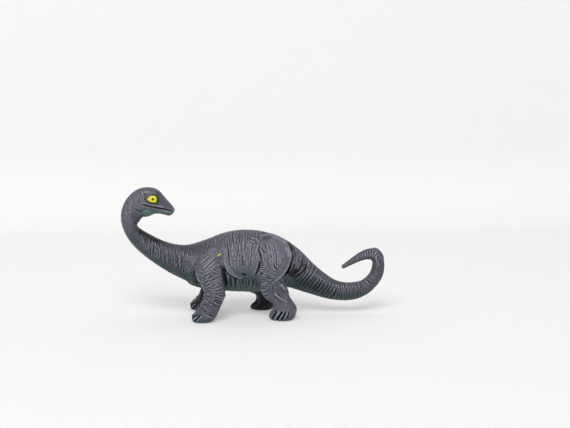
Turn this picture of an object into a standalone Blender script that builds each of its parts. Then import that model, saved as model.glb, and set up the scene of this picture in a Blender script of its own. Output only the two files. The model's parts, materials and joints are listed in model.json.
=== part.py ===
"""A long-necked toy dinosaur figure, about 15 cm long, moulded in soft PVC.

The body is a hollow clamshell of a left and a right shell. Its end walls trap the flanged stems of the
neck and the tail, its leg collars take the keyed oval pegs of four solid legs, and the head plugs onto the
end of the neck.

Head, neck, torso and tail are stretches of one skin: oval rings that follow one centre line, from the snout
to the tip of the tail. The tail end points along +X, the left side of the animal along -Y, and the soles
stand on Z = 0.
"""

import math

import bmesh
import bpy
from mathutils import Vector

# The centre line: how far it reaches from neck to tail, and how high it rises in the head
SPINE_REACH = 0.140
SPINE_RISE = 0.0655

# Largest depth (across the back) and breadth (side to side) of each stretch of skin
HEAD_DEPTH = 0.0168
HEAD_BREADTH = 0.0128
NECK_DEPTH = 0.0210
NECK_BREADTH = 0.0190
TORSO_DEPTH = 0.0355
TORSO_BREADTH = 0.0330
TAIL_DEPTH = 0.0200
TAIL_BREADTH = 0.0180

# Legs: height of the highest point of each pair, and its front-to-back girth
FORELEG_RISE = 0.0410
FORELEG_GIRTH = 0.0140
HINDLEG_RISE = 0.0455
HINDLEG_GIRTH = 0.0160
FORE_STRIDE = 0.0010
HIND_STRIDE = 0.0098

# Mouldings: walls, clearances and fits
WALL = 0.0022
END_WALL = 0.0025
CLEARANCE = 0.0003
WELD_OVERLAP = 0.0010
OVERRUN = 0.0100

# Neck and tail stems, and the flange at the end of each
STEM_DEPTH = 0.0090
STEM_BREADTH = 0.0070
FLANGE_LIP = 0.0018
FLANGE_THICKNESS = 0.0020

# The peg that carries the head
HEAD_PEG_DEPTH = 0.0070
HEAD_PEG_BREADTH = 0.0050
HEAD_PEG_LENGTH = 0.0050

# Leg pegs, their beads and the collars that hold them
LEG_PEG_HEIGHT = 0.0070
LEG_PEG_GIRTH = 0.0050
LEG_PEG_COVER = 0.0012
BEAD_LIP = 0.0008
BEAD_THICKNESS = 0.0015
COLLAR_WALL = 0.0015
COLLAR_END = 0.0066

# Locating pins between the two shells
PIN_RADIUS = 0.0012
PIN_LENGTH = 0.0030
POST_RADIUS = 0.0028

# Eyes
EYE_LENGTH = 0.0052
EYE_HEIGHT = 0.0042
EYE_THICKNESS = 0.0011
EYE_SEAT_DEPTH = 0.0013

# Mouth line: its width and depth in the skin, and how far its cutter stands out. Toe grooves
MOUTH_GAPE = 0.0006
MOUTH_DEPTH = 0.0009
MOUTH_BLADE_REACH = 0.0018
TOE_GROOVE_RADIUS = 0.0006
TOE_GROOVE_DEPTH = 0.0004
TOE_GROOVE_RISE = 0.0046

# Each row is one ring of the skin: how far along the spine's reach, how high in its rise, the lean of the
# ring's back edge from upright in degrees (towards the tail), and its shares of the stretch's depth and
# breadth. Each stretch ends on the seam that it shares with the next.
HEAD_SHARES = (
    (-0.315, 0.900, 212, 0.14, 0.22),
    (-0.319, 0.905, 213, 0.25, 0.36),
    (-0.325, 0.913, 209, 0.345, 0.48),
    (-0.334, 0.927, 206, 0.40, 0.58),
    (-0.347, 0.945, 202, 0.485, 0.67),
    (-0.360, 0.965, 198, 0.585, 0.77),
    (-0.374, 0.986, 195, 0.72, 0.88),
    (-0.387, 0.998, 190, 0.86, 0.97),
    (-0.402, 0.999, 184, 0.95, 1.00),
    (-0.421, 0.996, 178, 1.00, 0.99),
    (-0.441, 0.991, 171, 0.98, 0.95),
)
NECK_SHARES = (
    (-0.457, 0.973, 156, 0.72, 0.635),
    (-0.469, 0.948, 141, 0.655, 0.605),
    (-0.477, 0.920, 126, 0.615, 0.58),
    (-0.484, 0.885, 112, 0.565, 0.555),
    (-0.488, 0.847, 101, 0.505, 0.53),
    (-0.489, 0.808, 88, 0.445, 0.51),
    (-0.486, 0.776, 72, 0.41, 0.505),
    (-0.480, 0.742, 55, 0.405, 0.515),
    (-0.468, 0.708, 38, 0.450, 0.54),
    (-0.449, 0.669, 26, 0.52, 0.58),
    (-0.424, 0.628, 21, 0.575, 0.625),
    (-0.396, 0.586, 17, 0.63, 0.68),
    (-0.364, 0.545, 10, 0.705, 0.745),
    (-0.330, 0.507, 3, 0.80, 0.82),
    (-0.296, 0.478, -2, 0.90, 0.905),
    (-0.264, 0.461, -4, 0.985, 0.98),
    (-0.240, 0.453, -5, 1.065, 1.05),
)
TORSO_SHARES = (
    (-0.171, 0.450, -6, 0.80, 0.79),
    (-0.119, 0.467, -5, 0.925, 0.90),
    (-0.066, 0.477, -3, 0.985, 0.97),
    (-0.010, 0.478, 0, 1.00, 1.00),
    (0.050, 0.466, 6, 0.965, 0.985),
    (0.098, 0.442, 13, 0.88, 0.91),
    (0.132, 0.420, 21, 0.755, 0.80),
    (0.166, 0.393, 29, 0.625, 0.64),
)
TAIL_SHARES = (
    (0.190, 0.362, 32, 0.965, 1.00),
    (0.219, 0.320, 33, 0.86, 0.865),
    (0.253, 0.282, 28, 0.745, 0.745),
    (0.289, 0.243, 20, 0.66, 0.665),
    (0.324, 0.211, 12, 0.58, 0.605),
    (0.359, 0.195, 4, 0.535, 0.56),
    (0.393, 0.192, -2, 0.515, 0.535),
    (0.423, 0.200, -10, 0.49, 0.51),
    (0.447, 0.217, -22, 0.45, 0.485),
    (0.466, 0.243, -38, 0.42, 0.455),
    (0.484, 0.278, -55, 0.40, 0.435),
    (0.498, 0.317, -69, 0.395, 0.42),
    (0.508, 0.360, -81, 0.385, 0.41),
    (0.511, 0.406, -97, 0.37, 0.395),
    (0.509, 0.453, -119, 0.355, 0.375),
    (0.500, 0.492, -144, 0.35, 0.355),
    (0.486, 0.517, -167, 0.345, 0.335),
    (0.466, 0.519, -183, 0.31, 0.30),
    (0.442, 0.506, -192, 0.275, 0.265),
    (0.418, 0.481, -200, 0.235, 0.225),
    (0.393, 0.453, -203, 0.18, 0.18),
    (0.371, 0.419, -204, 0.125, 0.13),
    (0.366, 0.411, -204, 0.065, 0.07),
)

# Each row is one level ring of a leg, from the sole up: its height in the leg's rise, its middle and its
# length as shares of the girth, its inner and outer sides as shares of half the torso's breadth, and its
# share of the stride.
FORELEG_SHARES = (
    (0.000, -0.31, 0.66, 0.64, 1.24, 1.00),
    (0.015, -0.31, 0.82, 0.60, 1.28, 1.00),
    (0.066, -0.26, 0.97, 0.57, 1.31, 1.00),
    (0.122, -0.17, 0.95, 0.58, 1.30, 1.00),
    (0.175, -0.05, 0.83, 0.60, 1.25, 1.00),
    (0.232, 0.04, 0.78, 0.61, 1.21, 1.00),
    (0.300, 0.12, 0.83, 0.60, 1.20, 0.95),
    (0.361, 0.19, 0.83, 0.57, 1.19, 0.90),
    (0.430, 0.17, 0.83, 0.52, 1.16, 0.85),
    (0.510, 0.09, 0.90, 0.46, 1.12, 0.75),
    (0.610, -0.02, 1.05, 0.38, 1.07, 0.65),
    (0.712, -0.03, 1.12, 0.32, 1.01, 0.55),
    (0.810, 0.04, 1.05, 0.28, 0.95, 0.50),
    (0.890, 0.15, 0.87, 0.26, 0.86, 0.45),
    (0.955, 0.25, 0.64, 0.26, 0.75, 0.40),
    (1.000, 0.30, 0.34, 0.28, 0.63, 0.40),
)
HINDLEG_SHARES = (
    (0.000, 0.27, 0.66, 0.54, 1.12, 1.00),
    (0.012, 0.26, 0.78, 0.50, 1.16, 1.00),
    (0.046, 0.27, 0.90, 0.47, 1.19, 1.00),
    (0.093, 0.32, 0.885, 0.48, 1.185, 1.00),
    (0.150, 0.37, 0.77, 0.51, 1.13, 1.00),
    (0.207, 0.26, 0.80, 0.52, 1.10, 1.00),
    (0.285, 0.09, 0.90, 0.52, 1.10, 0.96),
    (0.365, 0.015, 0.96, 0.49, 1.10, 0.90),
    (0.455, -0.085, 0.86, 0.45, 1.11, 0.80),
    (0.540, -0.10, 0.86, 0.40, 1.12, 0.68),
    (0.625, -0.055, 0.97, 0.35, 1.125, 0.56),
    (0.705, 0.00, 1.06, 0.30, 1.115, 0.46),
    (0.785, 0.02, 1.11, 0.25, 1.07, 0.38),
    (0.865, 0.02, 1.08, 0.20, 0.95, 0.34),
    (0.930, 0.02, 0.94, 0.17, 0.77, 0.30),
    (0.975, 0.02, 0.70, 0.17, 0.59, 0.30),
    (1.000, 0.02, 0.36, 0.19, 0.44, 0.30),
)

# Where each pair of legs stands along the spine's reach, and the height of its pegs in the leg's rise
FORELEG_PLACE_SHARE = -0.173
FORELEG_PEG_SHARE = 0.745
HINDLEG_PLACE_SHARE = 0.082
HINDLEG_PEG_SHARE = 0.730

# The oval of the torso is wider below its middle than above it
TORSO_PEAR_SHARE = 0.10

# Locating posts, as shares of the spine's reach and rise
POST_SHARES = ((-0.090, 0.620), (-0.080, 0.320), (0.030, 0.640), (0.020, 0.300))

# The eye's outline, as shares of its length and height around its middle
EYE_SHARES = ((-0.50, 0.02), (-0.20, 0.36), (0.10, 0.50), (0.38, 0.36), (0.50, -0.16), (0.42, -0.46),
              (0.05, -0.44), (-0.28, -0.26))
EYE_PLACE_SHARES = (-0.398, 1.024)

# The mouth line from its corner to the tip of the snout, as shares of the spine's reach and rise, and how
# much of the head's half breadth there is at each point
MOUTH_SHARES = ((-0.432, 0.981, 0.97), (-0.418, 0.971, 0.995), (-0.399, 0.960, 0.985),
                (-0.376, 0.951, 0.89), (-0.356, 0.943, 0.74), (-0.337, 0.932, 0.59),
                (-0.321, 0.918, 0.42), (-0.312, 0.908, 0.10))

# Toe grooves: angles round the foot from straight ahead towards its outer side, in degrees
FORE_TOE_ANGLES = (-38, -2, 34, 70)
HIND_TOE_ANGLES = (-30, 8, 46, 84)
TOE_LEAN_SHARE = 0.35

# How many rows past each end of the torso the legs still keep clear of
ENVELOPE_ROWS = 4

SKIN_SIDES = 24
LEG_SIDES = 20
PEG_SIDES = 20
GROOVE_SIDES = 8
SKIN_ROUNDNESS = 2.0
LEG_ROUNDNESS = 2.4

# Name, colour, roughness and metallic value of each material
GREY_PVC = ("grey_pvc", (0.105, 0.100, 0.115, 1.0), 0.50, 0.0)
EYE_PAINT = ("yellow_eye_paint", (0.85, 0.80, 0.02, 1.0), 0.35, 0.0)

LEFT = -1
RIGHT = 1


def clear_scene():
    for leftover in list(bpy.data.objects):
        bpy.data.objects.remove(leftover)


def finish_material(finish):
    """The material of this name, made on its first use."""
    name, colour, roughness, metallic = finish
    material = bpy.data.materials.get(name)
    if material is None:
        material = bpy.data.materials.new(name)
        material.use_nodes = True
        shader = material.node_tree.nodes["Principled BSDF"]
        shader.inputs["Base Color"].default_value = colour
        shader.inputs["Roughness"].default_value = roughness
        shader.inputs["Metallic"].default_value = metallic
    return material


def loft(name, rings, origin, finish=None):
    """A closed solid through rings of points, each extruded from the last. Without a finish it is a tool."""
    mesh = bmesh.new()
    face = mesh.faces.new([mesh.verts.new(point - origin) for point in rings[0]])
    for number, ring in enumerate(rings[1:]):
        grown = bmesh.ops.extrude_face_region(mesh, geom=[face])
        if number > 0:
            bmesh.ops.delete(mesh, geom=[face], context="FACES_ONLY")
        face = next(item for item in grown["geom"] if isinstance(item, bmesh.types.BMFace))
        for corner, point in zip(face.verts, ring):
            corner.co = point - origin
    bmesh.ops.recalc_face_normals(mesh, faces=mesh.faces)
    data = bpy.data.meshes.new(name)
    mesh.to_mesh(data)
    mesh.free()
    data.shade_smooth()
    solid = bpy.data.objects.new(name, data)
    solid.location = origin
    bpy.context.scene.collection.objects.link(solid)
    if finish is None:
        solid.hide_render = True
        solid.display_type = "WIRE"
    else:
        data.materials.append(finish_material(finish))
    return solid


def boolean(target, operation, tool):
    """Adds a live Boolean of the tool to the target."""
    modifier = target.modifiers.new(tool.name, "BOOLEAN")
    modifier.operation = operation
    modifier.solver = "EXACT"
    modifier.object = tool


def box(name, low, high):
    """A block between two corners, as a tool."""
    ends = []
    for x in (low.x, high.x):
        ends.append([Vector((x, y, z)) for y, z in
                     ((low.y, low.z), (high.y, low.z), (high.y, high.z), (low.y, high.z))])
    return loft(name, ends, (low + high) / 2)


def oval(centre, up, side, height, width, sides, roundness, pear=0.0):
    """A superellipse of points round a centre, with pear above zero widening the side away from up."""
    ring = []
    for step in range(sides):
        turn = math.tau * (step + 0.5) / sides
        rise = math.copysign(abs(math.cos(turn)) ** (2 / roundness), math.cos(turn))
        reach = math.copysign(abs(math.sin(turn)) ** (2 / roundness), math.sin(turn))
        ring.append(centre + up * (rise * height / 2) + side * (reach * (1 - pear * rise) * width / 2))
    return ring


def skin_stations():
    """Every row of the skin in metres and radians: x, z, lean, depth, breadth and pear."""
    stretches = (
        (HEAD_SHARES, HEAD_DEPTH, HEAD_BREADTH, 0.0),
        (NECK_SHARES, NECK_DEPTH, NECK_BREADTH, 0.0),
        (TORSO_SHARES, TORSO_DEPTH, TORSO_BREADTH, TORSO_PEAR_SHARE),
        (TAIL_SHARES, TAIL_DEPTH, TAIL_BREADTH, 0.0),
    )
    stations = []
    for rows, depth, breadth, pear in stretches:
        for along, rise, lean, depth_share, breadth_share in rows:
            stations.append((along * SPINE_REACH, rise * SPINE_RISE, math.radians(lean),
                             depth_share * depth, breadth_share * breadth, pear))
    return stations


STATIONS = skin_stations()
HEAD_SEAM = len(HEAD_SHARES) - 1
NECK_SEAM = HEAD_SEAM + len(NECK_SHARES)
TAIL_SEAM = NECK_SEAM + len(TORSO_SHARES)
TAIL_TIP = len(STATIONS) - 1
# Rows where the neck's tight bend ends and the tail's curl begins: past them the rows stand further apart
NECK_BEND = HEAD_SEAM + 8
TAIL_CURL = TAIL_SEAM + 8


def station_at(place):
    """The skin at a place between two rows, on a smooth curve through the rows."""
    row = min(int(place), TAIL_TIP - 1)
    share = place - row
    before, start, end, after = (STATIONS[min(max(row + step, 0), TAIL_TIP)] for step in (-1, 0, 1, 2))
    values = []
    for a, b, c, d in zip(before, start, end, after):
        values.append(b + share * ((c - a) + share * ((2 * a - 5 * b + 4 * c - d)
                                                     + share * (3 * b - a - 3 * c + d))) / 2)
    return values


class Ring:
    """The place, axes and size of the skin at one place along it."""

    def __init__(self, place):
        x, z, lean, self.depth, self.breadth, self.pear = station_at(place)
        self.centre = Vector((x, 0, z))
        self.up = Vector((math.sin(lean), 0, math.cos(lean)))
        self.tailward = Vector((math.cos(lean), 0, -math.sin(lean)))

    def points(self, grown=0.0, ahead=0.0, sides=SKIN_SIDES):
        """The ring's points, grown outwards all round and moved along the spine."""
        return oval(self.centre + self.tailward * ahead, self.up, Vector((0, 1, 0)), self.depth + 2 * grown,
                    self.breadth + 2 * grown, sides, SKIN_ROUNDNESS, self.pear)

    def stem(self, name, profile):
        """A keyed oval tool along the spine, through (distance tailwards, depth, breadth) rows."""
        rings = [oval(self.centre + self.tailward * ahead, self.up, Vector((0, 1, 0)), depth, breadth,
                      PEG_SIDES, SKIN_ROUNDNESS) for ahead, depth, breadth in profile]
        return loft(name, rings, self.centre)


def skin(first, last, halves, start_gap=0.0, end_gap=0.0, grown=0.0):
    """Rings of the skin between two rows, with one more halfway after each row that halves names."""
    places = []
    for row in range(first, last):
        places.append(row)
        if row in halves:
            places.append(row + 0.5)
    rings = [Ring(first).points(grown, start_gap)]
    rings += [Ring(place).points(grown) for place in places[1:]]
    rings.append(Ring(last).points(grown, -end_gap))
    return rings


def make_head():
    seam = Ring(HEAD_SEAM)
    rings = skin(0, HEAD_SEAM, (), end_gap=CLEARANCE / 2)
    head = loft("head", rings, seam.centre, GREY_PVC)
    depth = HEAD_PEG_DEPTH + 2 * CLEARANCE
    breadth = HEAD_PEG_BREADTH + 2 * CLEARANCE
    socket = seam.stem("head_socket", ((WELD_OVERLAP, depth, breadth),
                                       (-HEAD_PEG_LENGTH - CLEARANCE, depth, breadth)))
    boolean(head, "DIFFERENCE", socket)
    for side, name in ((LEFT, "left"), (RIGHT, "right")):
        boolean(head, "DIFFERENCE", mouth_blade(name, side))
        seat, eye = make_eye(name, side)
        boolean(head, "DIFFERENCE", seat)
        boolean(eye, "INTERSECT", box(name + "_eye_reach", *eye_reach(side)))
    return head


def eye_level(side):
    """The middle of the eye on the skin of the head."""
    along, rise = EYE_PLACE_SHARES
    return Vector((along * SPINE_REACH, side * HEAD_BREADTH / 2, rise * SPINE_RISE))


def eye_reach(side):
    middle = eye_level(side)
    floor = middle.y - side * (EYE_SEAT_DEPTH - CLEARANCE)
    face = floor + side * EYE_THICKNESS
    reach = Vector((EYE_LENGTH, 0, EYE_HEIGHT))
    return (Vector((middle.x, min(floor, face), middle.z)) - reach,
            Vector((middle.x, max(floor, face), middle.z)) + reach)


def eye_outline(side, depth, grown):
    middle = eye_level(side)
    return [Vector((middle.x + across * (EYE_LENGTH + 2 * grown), middle.y - side * depth,
                    middle.z + rise * (EYE_HEIGHT + 2 * grown))) for across, rise in EYE_SHARES]


def make_eye(name, side):
    """The eye's seat, as a tool, and the eye that lies in it."""
    seat_rings = [eye_outline(side, depth, CLEARANCE) for depth in (EYE_SEAT_DEPTH, -OVERRUN)]
    seat = loft(name + "_eye_seat", seat_rings, eye_level(side))
    eye_rings = [eye_outline(side, depth, 0.0) for depth in (EYE_SEAT_DEPTH, 0.0)]
    eye_rings.append(eye_outline(side, CLEARANCE - EYE_SEAT_DEPTH, -CLEARANCE))
    return seat, loft(name + "_eye", eye_rings, eye_level(side), EYE_PAINT)


def mouth_blade(name, side):
    """A thin curved blade that cuts the mouth line into one side of the head."""
    rings = []
    for along, rise, breadth_share in MOUTH_SHARES:
        x = along * SPINE_REACH
        z = rise * SPINE_RISE
        skin_y = side * breadth_share * HEAD_BREADTH / 2
        inner = skin_y - side * MOUTH_DEPTH
        outer = skin_y + side * MOUTH_BLADE_REACH
        half_gape = MOUTH_GAPE / 2 * (MOUTH_DEPTH + MOUTH_BLADE_REACH) / MOUTH_DEPTH
        rings.append([Vector((x, inner, z)), Vector((x, outer, z - half_gape)),
                      Vector((x, outer, z + half_gape))])
    return loft(name + "_mouth_blade", rings, rings[0][0])


def stem_profile(direction):
    """A stem through an end wall, then the flange that the wall traps. Direction is 1 towards the tail."""
    through = CLEARANCE / 2 + END_WALL + CLEARANCE
    rows = ((-WELD_OVERLAP, 0.0), (through, 0.0), (through, FLANGE_LIP),
            (through + FLANGE_THICKNESS, FLANGE_LIP))
    return [(direction * ahead, STEM_DEPTH + 2 * lip, STEM_BREADTH + 2 * lip) for ahead, lip in rows]


def stem_hole(direction):
    """The way through an end wall for a stem."""
    depth = STEM_DEPTH + 2 * CLEARANCE
    breadth = STEM_BREADTH + 2 * CLEARANCE
    return [(direction * ahead, depth, breadth) for ahead in (-WELD_OVERLAP, END_WALL + WELD_OVERLAP)]


def make_neck():
    head_seam = Ring(HEAD_SEAM)
    body_seam = Ring(NECK_SEAM)
    rings = skin(HEAD_SEAM, NECK_SEAM, range(NECK_BEND, NECK_SEAM), CLEARANCE / 2, CLEARANCE / 2)
    neck = loft("neck", rings, body_seam.centre, GREY_PVC)
    boolean(neck, "UNION", body_seam.stem("neck_stem", stem_profile(1)))
    peg = head_seam.stem("head_peg", ((WELD_OVERLAP, HEAD_PEG_DEPTH, HEAD_PEG_BREADTH),
                                      (-HEAD_PEG_LENGTH, HEAD_PEG_DEPTH, HEAD_PEG_BREADTH)))
    boolean(neck, "UNION", peg)
    return neck


def make_tail():
    seam = Ring(TAIL_SEAM)
    rings = skin(TAIL_SEAM, TAIL_TIP, range(TAIL_SEAM, TAIL_CURL), start_gap=CLEARANCE / 2)
    tail = loft("tail", rings, seam.centre, GREY_PVC)
    boolean(tail, "UNION", seam.stem("tail_stem", stem_profile(-1)))
    return tail


class Leg:
    """One leg: the rows of its pair, where it stands and on which side."""

    def __init__(self, name, side, rows, rise, girth, place_share, peg_share, step, toe_angles):
        self.name = name
        self.side = side
        self.rows = rows
        self.rise = rise
        self.girth = girth
        self.place = place_share * SPINE_REACH
        self.peg_height = peg_share * rise
        self.step = step
        self.toe_angles = toe_angles

    def level(self, height_share):
        """Middle, length and width of the leg at a share of its rise."""
        for low, high in zip(self.rows, self.rows[1:]):
            if height_share <= high[0]:
                share = (height_share - low[0]) / (high[0] - low[0])
                row = [a + share * (b - a) for a, b in zip(low, high)]
                break
        height, middle, length, inner, outer, swing = row
        x = self.place + middle * self.girth - swing * self.step
        y = self.side * (inner + outer) / 2 * TORSO_BREADTH / 2
        width = (outer - inner) * TORSO_BREADTH / 2
        return Vector((x, y, height * self.rise)), length * self.girth, width

    def peg_middle(self):
        return self.level(self.peg_height / self.rise)[0]

    def outer_face(self):
        middle, _, width = self.level(self.peg_height / self.rise)
        return abs(middle.y) + width / 2

    def peg_tool(self, name, rows):
        """An oval tool across the body at the peg, through (distance from the middle, growth) rows."""
        middle = self.peg_middle()
        rings = []
        for reach, grown in rows:
            centre = Vector((middle.x, self.side * reach, middle.z))
            rings.append(oval(centre, Vector((0, 0, 1)), Vector((1, 0, 0)), LEG_PEG_HEIGHT + 2 * grown,
                              LEG_PEG_GIRTH + 2 * grown, PEG_SIDES, SKIN_ROUNDNESS))
        return loft(self.name + name, rings, middle)

    def peg(self):
        """The peg from inside the leg to its bead behind the collar."""
        bead = COLLAR_END - CLEARANCE
        return self.peg_tool("_peg", ((self.outer_face() - LEG_PEG_COVER, 0.0), (bead, 0.0),
                                      (bead, BEAD_LIP), (bead - BEAD_THICKNESS, BEAD_LIP)))

    def collar(self, wall_middle):
        """The collar inside the shell, ending in the middle of the shell's wall."""
        grown = CLEARANCE + COLLAR_WALL
        collar = self.peg_tool("_collar", ((COLLAR_END, grown), (self.outer_face(), grown)))
        boolean(collar, "INTERSECT", wall_middle)
        return collar

    def hole(self):
        return self.peg_tool("_peg_hole", ((COLLAR_END - WELD_OVERLAP, CLEARANCE),
                                           (self.outer_face() + OVERRUN, CLEARANCE)))

    def toe_grooves(self):
        """Leaning round cutters, set round the front of the foot between its toes."""
        middle, length, width = self.level(TOE_GROOVE_RISE / 2 / self.rise)
        tools = []
        for angle in self.toe_angles:
            turn = math.radians(angle)
            out = Vector((-math.cos(turn) * length / 2, self.side * math.sin(turn) * width / 2, 0))
            away = out.normalized()
            axis = (Vector((0, 0, 1)) - away * TOE_LEAN_SHARE).normalized()
            centre = middle + out + away * (TOE_GROOVE_RADIUS - TOE_GROOVE_DEPTH)
            across = axis.cross(away).normalized()
            rings = [oval(centre + axis * reach, across, axis.cross(across), 2 * TOE_GROOVE_RADIUS,
                          2 * TOE_GROOVE_RADIUS, GROOVE_SIDES, SKIN_ROUNDNESS)
                     for reach in (-TOE_GROOVE_RISE, TOE_GROOVE_RISE / 2)]
            tools.append(loft(f"{self.name}_toe_groove_{len(tools) + 1}", rings, centre))
        return tools

    def make(self, body_envelope):
        sole, _, _ = self.level(0.0)
        rings = []
        for row in self.rows:
            centre, length, width = self.level(row[0])
            rings.append(oval(centre, Vector((1, 0, 0)), Vector((0, 1, 0)), length, width, LEG_SIDES,
                              LEG_ROUNDNESS))
        leg = loft(self.name, rings, sole, GREY_PVC)
        boolean(leg, "DIFFERENCE", body_envelope)
        boolean(leg, "UNION", self.peg())
        for groove in self.toe_grooves():
            boolean(leg, "DIFFERENCE", groove)
        return leg


def four_legs():
    fore = (FORELEG_SHARES, FORELEG_RISE, FORELEG_GIRTH, FORELEG_PLACE_SHARE, FORELEG_PEG_SHARE)
    hind = (HINDLEG_SHARES, HINDLEG_RISE, HINDLEG_GIRTH, HINDLEG_PLACE_SHARE, HINDLEG_PEG_SHARE)
    return (
        Leg("front_left_leg", LEFT, *fore, 0.0, FORE_TOE_ANGLES),
        Leg("front_right_leg", RIGHT, *fore, FORE_STRIDE, FORE_TOE_ANGLES),
        Leg("hind_left_leg", LEFT, *hind, 0.0, HIND_TOE_ANGLES),
        Leg("hind_right_leg", RIGHT, *hind, HIND_STRIDE, HIND_TOE_ANGLES),
    )


def torso_cavity():
    """The hollow inside both shells, short of each end by the end wall."""
    inset = CLEARANCE / 2 + END_WALL
    halves = range(NECK_SEAM + 1, TAIL_SEAM - 2)
    rings = skin(NECK_SEAM, TAIL_SEAM, halves, inset, inset, -WALL)
    return loft("torso_cavity", rings, Ring(NECK_SEAM).centre)


def post_tool(name, along, rise, radius, start, end):
    """A round tool across the body between two distances from the middle plane."""
    rings = []
    for reach in (start, end):
        centre = Vector((along * SPINE_REACH, reach, rise * SPINE_RISE))
        rings.append(oval(centre, Vector((0, 0, 1)), Vector((1, 0, 0)), 2 * radius, 2 * radius, PEG_SIDES,
                          SKIN_ROUNDNESS))
    return loft(name, rings, rings[0][0])


def make_torso(legs):
    """The two shells, which meet on the middle plane of the body."""
    front = Ring(NECK_SEAM)
    rear = Ring(TAIL_SEAM)
    cavity = torso_cavity()
    halves = range(NECK_SEAM, TAIL_SEAM - 1)
    rings = skin(NECK_SEAM, TAIL_SEAM, halves, CLEARANCE / 2, CLEARANCE / 2)
    wall_middle = loft("wall_middle", skin(NECK_SEAM, TAIL_SEAM, halves, CLEARANCE, CLEARANCE, -WALL / 2),
                       front.centre)
    holes = [front.stem("neck_hole", stem_hole(1)), rear.stem("tail_hole", stem_hole(-1))]
    shells = []
    for side, name in ((LEFT, "left"), (RIGHT, "right")):
        shell = loft(f"torso_{name}_shell", rings, front.centre, GREY_PVC)
        boolean(shell, "DIFFERENCE", cavity)
        for leg in legs:
            if leg.side == side:
                boolean(shell, "UNION", leg.collar(wall_middle))
        posts = []
        for number, (along, rise) in enumerate(POST_SHARES, 1):
            post = post_tool(f"{name}_post_{number}", along, rise, POST_RADIUS, 0.0,
                             side * TORSO_BREADTH / 2)
            boolean(post, "INTERSECT", wall_middle)
            boolean(shell, "UNION", post)
        for hole in holes:
            boolean(shell, "DIFFERENCE", hole)
        for leg in legs:
            if leg.side == side:
                boolean(shell, "DIFFERENCE", leg.hole())
        boolean(shell, "INTERSECT", half_space(name, side))
        for number, (along, rise) in enumerate(POST_SHARES, 1):
            if side == LEFT:
                pin = post_tool(f"pin_{number}", along, rise, PIN_RADIUS, -WELD_OVERLAP, PIN_LENGTH)
                boolean(shell, "UNION", pin)
            else:
                socket = post_tool(f"pin_socket_{number}", along, rise, PIN_RADIUS + CLEARANCE, 0.0,
                                   PIN_LENGTH + CLEARANCE)
                boolean(shell, "DIFFERENCE", socket)
        shells.append(shell)
    return shells


def half_space(name, side):
    """Everything on one side of the body's middle plane, short of it by half the clearance."""
    near = side * CLEARANCE / 2
    far = side * (TORSO_BREADTH / 2 + OVERRUN)
    return box(f"{name}_half", Vector((-SPINE_REACH, min(near, far), 0)),
               Vector((SPINE_REACH, max(near, far), SPINE_RISE + OVERRUN)))


def make_envelope():
    """The skin from the neck to the tail, grown by the clearance that the legs keep to it."""
    first = NECK_SEAM - ENVELOPE_ROWS
    last = TAIL_SEAM + ENVELOPE_ROWS
    rings = skin(first, last, range(first, last), grown=CLEARANCE)
    return loft("body_envelope", rings, Ring(NECK_SEAM).centre)


def middle_of_length():
    """The middle of the figure between its foremost and rearmost rings."""
    ends = [point.x for place in range(TAIL_TIP + 1) for point in Ring(place).points()]
    return (min(ends) + max(ends)) / 2


def main():
    clear_scene()
    legs = four_legs()
    make_head()
    make_neck()
    make_torso(legs)
    make_tail()
    envelope = make_envelope()
    for leg in legs:
        leg.make(envelope)
    figure = bpy.data.objects.new("figure", None)
    bpy.context.scene.collection.objects.link(figure)
    for piece in bpy.data.objects:
        if piece is not figure:
            piece.parent = figure
    figure.location.x = -middle_of_length()


main()
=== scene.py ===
# %% [markdown]
# # A soft-PVC toy dinosaur, dressed for its picture
#
# The real figure is about 15 cm long and was poured into a steel mould. A sculptor made one clay master with
# a wrinkled skin, and the factory sprayed dark grey paint over a green-grey plastic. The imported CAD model
# holds the plain forms: head, neck, two torso shells, tail, four legs and two eyes. Here each of them gets
# its sculpted skin and its paint.
#
# The skin could be made piece by piece, but then every leg would meet the body in a hard line. So the work
# goes as the sculptor's did: plain forms first, fused into one lump of clay, then muscles, folds and
# wrinkles pressed into it, and at last the cut into the pieces that the CAD model names.

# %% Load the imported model
import json
import math

import bpy
import numpy as np
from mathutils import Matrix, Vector, noise

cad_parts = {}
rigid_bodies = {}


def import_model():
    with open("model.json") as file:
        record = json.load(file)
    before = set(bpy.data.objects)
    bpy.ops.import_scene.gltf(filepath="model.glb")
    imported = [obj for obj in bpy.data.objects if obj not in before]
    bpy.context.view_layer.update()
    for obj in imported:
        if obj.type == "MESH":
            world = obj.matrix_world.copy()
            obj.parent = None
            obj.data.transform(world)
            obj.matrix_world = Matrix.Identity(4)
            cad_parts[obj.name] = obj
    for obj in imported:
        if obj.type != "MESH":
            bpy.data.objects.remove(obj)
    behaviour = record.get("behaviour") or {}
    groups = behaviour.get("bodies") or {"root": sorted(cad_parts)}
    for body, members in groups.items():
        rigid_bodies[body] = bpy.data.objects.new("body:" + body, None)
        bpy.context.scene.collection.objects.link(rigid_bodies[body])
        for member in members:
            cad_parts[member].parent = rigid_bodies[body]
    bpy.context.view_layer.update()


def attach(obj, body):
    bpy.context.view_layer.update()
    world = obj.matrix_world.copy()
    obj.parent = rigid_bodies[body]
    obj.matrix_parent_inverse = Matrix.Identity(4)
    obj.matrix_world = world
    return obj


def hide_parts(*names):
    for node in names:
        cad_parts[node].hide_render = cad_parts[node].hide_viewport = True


bpy.ops.object.select_all(action="SELECT")
bpy.ops.object.delete()
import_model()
MM = 0.001

# %% [markdown]
# ## Camera
#
# The picture was taken from about 70 cm away, a little above the table and a few degrees off square, so
# the near legs hide part of the far ones. The lens and the place come from matching the outline of the
# figure and the line of its feet.

# %% Camera
CAMERA_PLACE = Vector((-0.03025, -0.6835, 0.1600))
CAMERA_TILT = math.radians(81.5)
CAMERA_PAN = math.radians(-4.0)
CAMERA_LENS_MM, CAMERA_SENSOR_MM = 77.7, 36.0

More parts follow.
